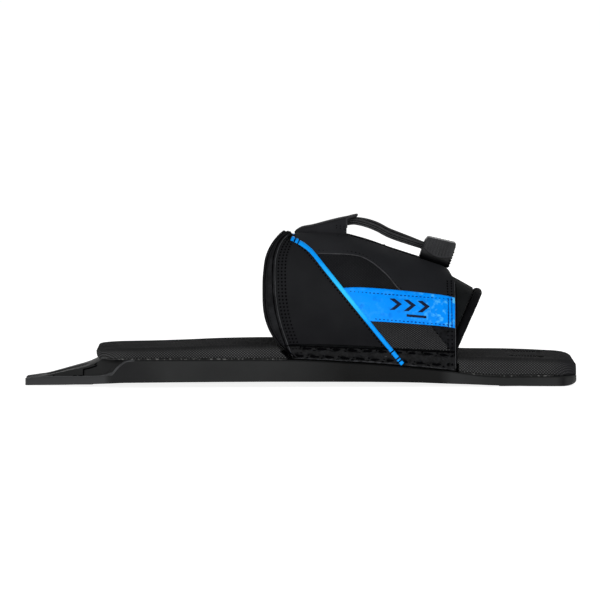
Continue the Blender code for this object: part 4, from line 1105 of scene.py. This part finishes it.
def quarter(side, looks):
    rear = [(rear_seam_x(z) + 0.3, z) for z in spread(27.2, 95.0, 30)]
    front = stripe_part(25.0, 93.6, -STRIPE_HALF + 0.5)

    def bend(x, z, *_):
        back = x - rear_seam_x(z)
        ahead = stripe_x(z) - x
        return sum(groove(back - row) for row in REAR_ROWS) + groove(ahead - STRIPE_ROW - 0.4)

    patch("quarter_overlay", side, rear, front, looks["quarter"], (0.95, 2.3), "quarter", "quarter_panel",
          bend=bend)
    rows = []
    for row in REAR_ROWS:
        points = [(rear_seam_x(z) + row, z) for z in spread(21.0, 95.0, 40)]
        rows.append(side_row(side, points, 0.85, 2.3, 1.3, 0.55))
    rows.append(side_row(side, shifted(stripe_part(24, 90, 0), -STRIPE_ROW), 0.85, 2.5, 1.6, 0.5))
    sewn("quarter_stitches", side, rows, looks["thread"], "quarter")


def vamp_lace_edge():
    edge = [(x, angle_at_y(x, LACE_EDGE_Y)) for x in spread(-3.0, 92, 20)]
    return edge + [(95.8, angle_at_height(95.8, 71.8)), (TOE_EDGE_X, angle_at_height(TOE_EDGE_X, 66.5))]


def vamp_low_edge():
    top = list(reversed(stripe_part(SEAM_START_Z, 93.6, STRIPE_HALF - 0.5)))
    return top + rounded([(stripe_x(SEAM_START_Z) + 3, 84.8), *SEAM, (71.5, 58.4), (TOE_EDGE_X, 56.3)])


def vamp(side, looks):
    lower = vamp_low_edge()
    seam = [p for p in lower if p[0] > stripe_x(SEAM_START_Z) + 2]

    def bend(x, *_):
        return sum(groove(x - (TOE_EDGE_X - back), 0.3) for back in TOE_ROWS)

    patch("vamp_overlay", side, lower, vamp_lace_edge(), looks["vamp"], (0.85, 2.2), "vamp", "vamp_panel",
          on_angle=True, bend=bend)
    rows = []
    for back in TOE_ROWS:
        points = [(TOE_EDGE_X - back, z) for z in spread(57.5, 67.5, 12)]
        rows.append(side_row(side, points, 0.85, 2.4, 1.9, 0.5))
    rows.append(side_row(side, shifted(seam, -0.4, 1.9), 0.85, 2.6, 1.6, 0.3))
    lace_row = []
    for x in spread(0, 90, 60):
        y, z = arch(x, angle_at_y(x, LACE_EDGE_Y + 2.4), 0.9, valley=False)
        lace_row.append((x, side * y, z))
    rows.append((lace_row, upwards, 2.6, 1.8, 0.26))
    sewn("vamp_stitches", side, rows, looks["thread"], "vamp")
    # painted highlight: a paler bead along the vamp's curved seam
    edge = [on_side(side, x, z, 0.95) for x, z in resampled(seam, 90)]
    bead("vamp_cut_edge", side, edge, 0.36, looks["seam"], "vamp", sides=6)
    # The first bead is a dark joint ahead of the toe edge; the second, paler one is a painted highlight along
    # the toe edge.
    for name, look, ahead, top, inset, radius in (("toe_joint", "gap", 0.55, 65.5, 1.5, 0.5),
                                                  ("toe_cut_edge", "seam", -0.05, 66.0, 0.95, 0.24)):
        toe = [on_side(side, TOE_EDGE_X + ahead, z, inset) for z in spread(11.5, top, 60)]
        bead(name, side, toe, radius, looks[look], "vamp", sides=6)


def meshes(side, looks):
    low = list(reversed(stripe_part(62.0, 83.8, STRIPE_HALF - 0.5)))
    high = rounded([(stripe_x(SEAM_START_Z) + 3.4, 84.4), *shifted(SEAM[:-1], 0.6, 0.4), (66.8, 59.2)])
    patch("fine_mesh", side, low, high, looks["mesh"], (1.25, 2.4), "mesh", "mesh_upper")
    left = stripe_part(24.8, 43.0, STRIPE_HALF - 0.5)
    patch("open_mesh", side, left, [(96.8, 22.7), (83.0, 39.4)], looks["hex_mesh"], (1.2, 2.4), "mesh",
          "mesh_lower")
    patch("toe_gusset_panel", side, [(95.4, 22.8), (82.4, 39.4)], [(TOE_EDGE_X, 22.8), (TOE_EDGE_X, 38.4)],
          looks["gusset"], (0.95, 2.15), "gusset", "toe_gusset")
    rows = [side_row(side, [(94.5, 25.6), (84.4, 37.0)], 0.85, 2.6, 1.6, 0.42)]
    for back in TOE_ROWS:
        points = [(TOE_EDGE_X - back, z) for z in (13, 36.6)]
        rows.append(side_row(side, points, 0.85, 2.5, 2.1, 0.62))
    sewn("gusset_stitches", side, rows, looks["thread"], "gusset")


BAND_LOW = [(43.0, 42.0), (TOE_EDGE_X, 37.2)]
BAND_HIGH = [(25.0, 63.0), (TOE_EDGE_X, 56.8)]
BAND_ROW = 1.7                 # its long rows of stitches, measured in from its edges
BAND_END_ROWS = (94.0, 96.2)   # the places of its two upright rows


def band(side, looks):
    left = [(stripe_x(z) + 0.9, z) for z in (42.0, 63.0)]
    right = [(TOE_EDGE_X - 0.2, 37.5), (TOE_EDGE_X, 56.5)]

    def bend(x, z, *_):
        low, high = linear(BAND_LOW, x), linear(BAND_HIGH, x)
        rows = groove(z - low - BAND_ROW, 0.16) + groove(high - z - BAND_ROW, 0.16)
        return rows + sum(groove(x - row, 0.2, 0.7) for row in BAND_END_ROWS)

    patch("blue_band", side, left, right, looks["band"], (0.4, 2.0), "band", "side_band", bend=bend)
    rows = []
    for edge, shift in ((BAND_LOW, BAND_ROW), (BAND_HIGH, -BAND_ROW)):
        points = [(x, linear(edge, x) + shift) for x in spread(stripe_x(linear(edge, 40)) + 4, 97.2, 40)]
        rows.append(side_row(side, points, 0.42, 2.5, 1.8, 0.42))
    for x in BAND_END_ROWS:
        rows.append(side_row(side, [(x, 37.8), (x, 56.0)], 0.42, 2.2, 1.9, 0.5))
    sewn("band_stitches", side, rows, looks["blue_thread"], "band")
    for number, x in enumerate(BAND_END_ROWS, 1):
        line = [on_side(side, x + ripple(x, z, 0, 3.0, 0.15), z, 0.55) for z in spread(37.6, 56.2, 30)]
        bead(f"band_furrow_{number}", side, line, 0.3, looks["blue_thread"], "band", sides=6)


def band_mark(side, looks):
    """A plain row of three chevrons with a short bar under them."""
    parts = []
    for k in range(3):
        x, z, half, thick = 57.0 + 8.8 * k, 52.4 - 0.8 * k, 3.5, 3.0
        for up in (1, -1):
            back, tip = (x, z + up * half), (x + 4.6, z)
            parts.append(([back, tip], shifted([back, tip], thick)))
    parts.append(([(67.6, 44.6), (67.6, 46.0)], [(80.0, 43.5), (80.0, 44.9)]))
    points, faces = [], []
    for a_edge, b_edge in parts:
        def spot(i, j, inset, a=a_edge, b=b_edge):
            (xa, za), (xb, zb) = along(a, i / 5), along(b, i / 5)
            t = j / 5
            return on_side(side, xa + (xb - xa) * t, za + (zb - za) * t, inset)

        more, extra = skin_parts(6, 6, lambda i, j: spot(i, j, 0.18), lambda i, j: spot(i, j, 0.5),
                                 len(points))
        points += more
        faces += extra
    placed(solid(f"band_mark_{where(side)}", points, faces, looks["mark"]), "root", "band")


STRIPE_CUTS = ((94.3, 93.4), (92.95, 92.15), (91.7, 22.9), (22.2, 18.6), (17.9, 16.9), (16.2, 14.6))


def stripe(side, looks):
    """The raised blue piping, crossed by stitches near its ends."""
    line = rounded(STRIPE, 14)
    points, faces = [], []
    for z_high, z_low in STRIPE_CUTS:
        inside = [p for p in line if z_low < p[1] < z_high]
        part = [(stripe_x(z_high), z_high)] + inside + [(stripe_x(z_low), z_low)]
        fine = resampled(part, max(4, ceil(run_length(part) / 0.9)))
        count = len(fine)

        def spot(i, j, outer, fine=fine, count=count):
            x, z = fine[i]
            ahead = Vector(fine[min(i + 1, count - 1)]) - Vector(fine[max(i - 1, 0)])
            across = Vector((-ahead.y, ahead.x)).normalized() * STRIPE_SEEN_HALF
            t = -1 + j / 4
            crowned = 0.85 * sqrt(max(0.0, 1 - t * t)) * min(1.0, 0.55 + min(i, count - 1 - i) * 0.45)
            crowned += 0.75 * max(0.0, min(1.0, (24.5 - z) / 2))
            inset = 1.0 - crowned if outer else 1.35
            return on_side(side, x + across.x * t, z + across.y * t, inset)

        more, extra = skin_parts(count, 9, lambda i, j: spot(i, j, True), lambda i, j: spot(i, j, False),
                                 len(points))
        points += more
        faces += extra
    piece = solid(f"blue_stripe_{where(side)}", points, faces, looks["stripe"], smooth=60)
    placed(piece, "root", "band", f"side_stripe_{where(side)}")


def arch_angles(count, top=84):
    return [radians(a) for a in spread(-top, top, count)]


def sock(looks):
    """The neoprene sock with its two flanges."""
    angles = arch_angles(71)
    rows, cols = 46, len(angles) + 4

    def spot(i, j, inset, flange_z):
        side = -1 if j < cols / 2 else 1
        at_edge = j in (0, 1, cols - 2, cols - 1)
        angle = side * pi / 2 if at_edge else angles[j - 2]
        h = 0.0 if at_edge else height_share(angle)
        x0, x1 = rear_x(h) + 3.6, collar_x(h) - 2.9 - GAP
        x = x0 + (x1 - x0) * i / (rows - 1)
        if at_edge:
            reach = FLANGE_REACH if j in (0, cols - 1) else UPPER_INSET + inset + value(TOE_TAPER, x)
            return x, side * (plate_half(x) - reach), deck(x) + flange_z
        if inset < 4:
            inset += ripple(x, 30 * angle, 0, 11.0, 0.3) + 0.15
        y, z = arch(x, angle, inset, taper=True)
        return x, y, max(z, deck(x) + flange_z + 0.4)

    piece = skin("neoprene_sock", rows, cols, lambda i, j: spot(i, j, 2.7, GAP),
                 lambda i, j: spot(i, j, 5.9, GAP + FLANGE_THICK), looks["neoprene"], smooth=50)
    turns = [2 * pi * k / 12 for k in range(12)]
    holes = []
    for side in (-1, 1):
        for x in SCREW_XS:
            y, z = side * (plate_half(x) - SCREW_INSET), deck(x)
            holes.append([[(x + SCREW_HOLE_R * cos(t), y + SCREW_HOLE_R * sin(t), z + lift) for t in turns]
                          for lift in (-3, 4)])
    cut(piece, "screw_holes", holes)
    resmoothed(piece, 50)
    placed(piece, "root", "neoprene", "liner")


def rear_roll(looks):
    """The folded binding: a roll around the rear edge, and a flap that reaches forwards to the seam."""
    rings = []
    for angle in arch_angles(97, 85.5):
        h = height_share(angle)
        x0 = rear_x(h)
        reach = 3.4 + 6.0 * max(0.0, (h - 0.95) / 0.05)
        section = [(x0 + reach, 1.9), (x0 + reach, 1.2), (x0 + reach - 0.4, 1.0), (x0 + 2.9, 0.95)]
        section += [(x0 + 2.3 - 2.3 * sin(t), 3.35 - 2.8 * cos(t)) for t in spread(0, pi, 13)]
        section += [(x0 + 6.5, 6.55), (x0 + 9.5, 6.6), (x0 + 9.5, 6.0), (x0 + 3.3, 5.95), (x0 + 3.0, 2.4)]
        rings.append([(x, *arch(x, angle, inset + ripple(x, 40 * angle, inset, 5.0, 0.12)))
                      for x, inset in section])
    piece = loft("rear_binding_roll", [rings], looks["binding"], smooth=55)
    placed(piece, "root", "binding", "rear_binding")
    for side in (-1, 1):
        rear_flap(side, looks)


def rear_flap(side, looks):
    left, right = [], []
    for z in spread(18.6, 97.0, 40):
        back = rear_x((z - 17.6) / (CROWN_Z[0][1] - 17.6))
        left.append((back + 2.9, z))
        right.append((max(rear_seam_x(z), back + 4.6), z))
    patch("rear_flap", side, left, right, looks["flap"], (0.7, 2.0), "quarter", step=1.2)
    sewn("flap_stitches", side, [side_row(side, shifted(left, 0.5), 0.75, 2.0, 1.4, 0.24)], looks["thread"],
         "quarter")
    # painted shade: dark beads stand for the shade in grooves along the binding's edge and fold
    grooves = (("edge", left, -1.2, 0.62, 0.33), ("fold", right, -1.5, 0.8, 0.45))
    for name, line, back, inset, radius in grooves:
        dark = [on_side(side, x + back + ripple(x, z, 4, 5.0, 0.25), z, inset) for x, z in line]
        bead(f"rear_{name}_groove", side, dark, radius, looks["gap"], "binding", sides=8, uneven=0.15)
    # painted highlight: a paler bead along the rear seam
    seam = [on_side(side, rear_seam_x(z) + 0.15, z, 0.75) for z in spread(18.5, 95.5, 90)]
    bead("rear_seam_edge", side, seam, 0.3, looks["seam"], "quarter", sides=6)


def toe_roll(looks):
    spots = []
    for angle in arch_angles(81, 85.5):
        x = collar_x(height_share(angle))
        spots.append((x, *arch(x, angle, 4.3, taper=True)))
    piece = rope("toe_collar_roll", spots, 2.55, looks["collar"], sides=18, uneven=0.12, step=0.9)
    placed(piece, "root", "neoprene", "toe_collar")


def tongue(looks):
    angles = arch_angles(19, 11.6)

    def spot(i, j, inset):
        x = -5 + 93 * i / 60
        quilt = 0.28 * abs(sin(pi * (x + 5) / 9.3)) if inset < 1.5 else 0.0
        return x, *arch(x, angles[j], inset + 0.3 - quilt)

    piece = skin("quilted_tongue", 61, len(angles), lambda i, j: spot(i, j, 0.8),
                 lambda i, j: spot(i, j, 1.8), looks["tongue"], smooth=50)
    placed(piece, "root", "tongue", "tongue")


# ---- lacing, keeper and lock -----------------------------------------------------------------
def lacing(looks):
    for side in (-1, 1):
        cord = lace_mesh(f"lacing_cord_{where(side)}", rounded(lacing_route(side)), LACE_R, looks["lace"],
                         looks["thread"], False)
        placed(cord, "root", "lace", f"lacing_{where(side)}")
    for number, x in enumerate(LOOP_XS, 1):
        for side in (-1, 1):
            piece = loft(f"webbing_loop_{number}_{where(side)}", [loop_rings(x, side)], looks["webbing"])
            placed(piece, "root", "webbing", f"lace_loop_{number}_{where(side)}")


def loop_rings(x, side):
    """A folded webbing loop: an arch over the lace, with soft edges and two feet on the tongue."""
    y0, mid = side * LOOP_Y, crown(x) - LOOP_DROP - LOOP_LOWER
    foot = mid - 0.4
    turn = [pi * k / 14 for k in range(15)]
    rings = []
    for dx, grow in ((-3.0, 0.25), (-2.8, 0.08), (-2.4, 0), (2.4, 0), (2.8, 0.08), (3.0, 0.25)):
        far, near = LOOP_OUTER_R - grow, LOOP_INNER_R + grow
        ring = [(y0 + far * cos(t), mid + far * sin(t)) for t in turn]
        ring += [(y0 - far, foot), (y0 - near, foot)]
        ring += [(y0 + near * cos(t), mid + near * sin(t)) for t in reversed(turn)]
        ring += [(y0 + near, foot), (y0 + far, foot)]
        rings.append([(x + dx, y, z) for y, z in ring])
    return rings


def keeper(looks):
    """The moulded hood that the two strands come out of, with a long lip."""
    profile = [(1.0, None), (1.0, 0.5), (1.0, 2.9), (0.985, 1.75), (0.93, 0.95), (0.84, 0.45), (0.7, 0.18),
               (0.5, 0.05), (0.25, 0.0), (0.0, 0.0)]
    last = len(profile) - 1
    xs = edge_steps(KEEPER_TIP_X - KEEPER_X0, 1.5, (0.2, 0.5, 1.0))

    def spot(i, j, thick):
        side, k = (1, j) if j <= last else (-1, 2 * last - j)
        share, drop = profile[k]
        lip = max(0.0, min(1.0, (k - 4) / 3))
        reach = KEEPER_X1 + (KEEPER_TIP_X - KEEPER_X1) * lip
        x = KEEPER_X0 + (reach - KEEPER_X0) * xs[i]
        top, low, half = value(KEEPER_TOP, x), linear(KEEPER_LOW, x), value(KEEPER_HALF, x)
        y = side * (half - thick) * share
        if drop is None:
            z = low
        elif k == 1:
            z = low + drop * (top - 2.9 - low)
        else:
            z = max(top - drop - thick, low + 0.6)
        return x, y, z

    piece = skin("keeper_hood", len(xs), 2 * last + 1, lambda i, j: spot(i, j, 0.0),
                 lambda i, j: spot(i, j, 1.3), looks["keeper"], smooth=45)
    placed(piece, "root", "keeper", "lace_keeper")
    rows = []
    for side in (-1, 1):
        row = [(x, side * (value(KEEPER_HALF, x) - 0.1), linear(KEEPER_LOW, x) + 1.2)
               for x in spread(0, 26, 30)]
        rows.append((row, sideways, 2.4, 1.6, 0.24))
        for shift in (0.0, -2.4, -4.8):
            points = [(KEEPER_X1 - 1.6 + shift, side * 12.05, z - 0.2 * shift)
                      for z in spread(97.6, 100.6, 4)]
            rows.append((points, sideways, 1.3, 1.1, 0.5))
    placed(stitched("keeper_stitches", rows, looks["thread"]), "root", "keeper")
    # painted highlight: a paler rope along the hood's front edge
    rim = [spot(len(xs) - 1, j, 0.2) for j in range(1, 2 * last)]
    placed(rope("keeper_rim", rim, 0.55, looks["rim"], sides=8, step=0.6), "root", "keeper")


def smile_w(u):
    """The curved lower edge of the saddle's cheeks."""
    return 0.9 - 3.6 * sin(pi * (0.1 + 0.8 * (u + SADDLE_HALF) / (2 * SADDLE_HALF)))


def lock_point(u, v, w):
    """Lock coordinates: u along the lace away from the keeper, v along +Y, w square to both."""
    x, y, z = LOCK_AT
    rise, run = sin(LACE_SLOPE), cos(LACE_SLOPE)
    u, w = LOCK_GROWN * u, LOCK_GROWN * w - LOCK_LOWER
    return x + u * run + w * rise, y + v, z - u * rise + w * run


def lock_box(u0, u1, v0, v1, w0, w1):
    return [[lock_point(u, v, w) for u, w in ((u0, w0), (u1, w0), (u1, w1), (u0, w1))] for v in (v0, v1)]


def lock_housing(looks):
    """Barrel-sided block with the lace channel, a spring pocket and a serrated lower end."""
    rings = []
    for u in (-9.4, -9.1, -8.4, -6, -3, 0, 3, 6, 8.3, 9.0, 9.3):
        end = 0.5 * max(0.0, (abs(u) - 8.2) / 1.2) ** 2
        top = 4.9 + (u + 8.6) * 0.114
        half = [(4.6, -7.3 + end), (6.2, -7.0 + end), (7.6, -6.0 + end), (8.5, -4.6), (8.8, -2.6), (8.8, 0.5),
                (8.8, 3.0), (8.7, top - 0.4), (8.3, top - 0.05)]
        half = [(v - end, w) for v, w in half]
        rings.append([lock_point(u, v, w) for v, w in half + [(-v, w) for v, w in reversed(half)]])
    body = loft("lock_body", [rings], looks["lock"])
    cut(body, "lace_channel", [lock_box(-12, 12, -5.4, 5.4, -4.0, 3.4)])
    cut(body, "spring_pocket", [lock_box(-6.5, 8.2, -1.6, 1.6, 4.1, 9)])
    cut(body, "tooth_window", [lock_box(-6.5, 1.1, -1.6, 1.6, 1, 5)])
    bevelled(body, 0.2, 2, 50)
    placed(body, "lace_lock", "lock", "lock_housing")
    teeth = []
    for side in (-1, 1):
        for k in range(6):
            w0 = -6.3 + 1.75 * k
            v0, v1 = sorted((side * 8.55, side * 9.1))
            teeth.append(lock_box(8.2, 9.6, v0, v1, w0, w0 + 1.0))
    placed(loft("lock_serration", teeth, looks["thread"]), "lace_lock", "lock")


def slider(looks):
    """The saddle that is pushed away from the hood to release the lace.

    Its ribbed cheeks end in a smile-shaped lower edge.
    """
    smile = [(u, smile_w(u)) for u in spread(-SADDLE_HALF, SADDLE_HALF, 25)]
    top = [(8.95, 7.6), (8.75, 8.35), (8.2, 8.7), (-7.4, 6.85), (-8.3, 6.5), (-8.75, 5.7)]
    outline = smile + top
    rings = []
    middle_u = sum(u for u, w in outline) / len(outline)
    middle_w = 3.6
    cheek = ((-11.0, 0.955), (-10.8, 0.985), (-10.3, 1.0), (10.3, 1.0), (10.8, 0.985), (11.0, 0.955))
    for v, shrink in cheek:
        rings.append([lock_point(middle_u + (u - middle_u) * shrink, v, middle_w + (w - middle_w) * shrink)
                      for u, w in outline])
    saddle = loft("lock_saddle", [rings], looks["slider"])
    under = [(-12, -9), (12, -9), (12, 7.85), (-12, 5.15)]
    cut(saddle, "saddle_hollow", [[[lock_point(u, v, w) for u, w in under] for v in (-9.15, 9.15)]])
    cut(saddle, "spring_clearance", [lock_box(-2.3, 12, -1.7, 1.7, 3.0, 6.95)])
    tooth = [(-5.6, 2.85), (-4.2, 2.85), (-2.4, 3.3), (-2.4, 6.7), (-5.6, 6.3)]
    cut(saddle, "tooth", [[[lock_point(u, v, w) for u, w in tooth] for v in (-1.2, 1.2)]], "UNION")
    resmoothed(saddle, 35)
    placed(saddle, "lock_release", "slider", "lock_slider")
    ribs = [saddle_rib(side, -6.4 + 1.85 * k) for side in (-1, 1) for k in range(8)]
    placed(loft("saddle_ribs", ribs, looks["slider"], smooth=60), "lock_release", "slider")
    for side in (-1, 1):
        # painted highlight: a paler rope along each smile-shaped edge
        lip = [lock_point(u * 0.96, side * 10.85, w + 0.15) for u, w in smile]
        piece = rope(f"saddle_lip_{where(side)}", lip, 0.32, looks["rim"], sides=8, step=0.5)
        placed(piece, "lock_release", "slider")


def saddle_rib(side, u):
    """One upright grip rib on a cheek, from above the smile to below the top."""
    low, high = smile_w(u) + 1.0, 6.9 + (u + 8.3) * 0.115
    rib = []
    for w, big in ((low, 0.3), (low + 0.5, 0.85), (low + 1.2, 1.0), (high - 1.2, 1.0), (high - 0.5, 0.8),
                   (high, 0.3)):
        r = 0.42 * big
        rib.append([lock_point(u + r * cos(pi * n / 4), side * (10.95 + r * sin(pi * n / 4)), w)
                    for n in range(8)])
    return rib


def hardware(looks):
    """CAD nodes that keep their shape get a detailed finish."""
    for name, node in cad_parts.items():
        if name.startswith("clamp_") or name == "lock_spring":
            node.data.materials.clear()
            node.data.materials.append(looks["steel"])


def build():
    camera()
    looks = make_looks()
    strands(looks)
    studio()
    plate(looks)
    footbed(looks)
    glue_line(looks)
    sock(looks)
    rear_roll(looks)
    toe_roll(looks)
    tongue(looks)
    for side in (-1, 1):
        hem(side, looks)
        quarter(side, looks)
        vamp(side, looks)
        meshes(side, looks)
        band(side, looks)
        band_mark(side, looks)
        stripe(side, looks)
    lacing(looks)
    keeper(looks)
    lock_housing(looks)
    slider(looks)
    hardware(looks)


build()
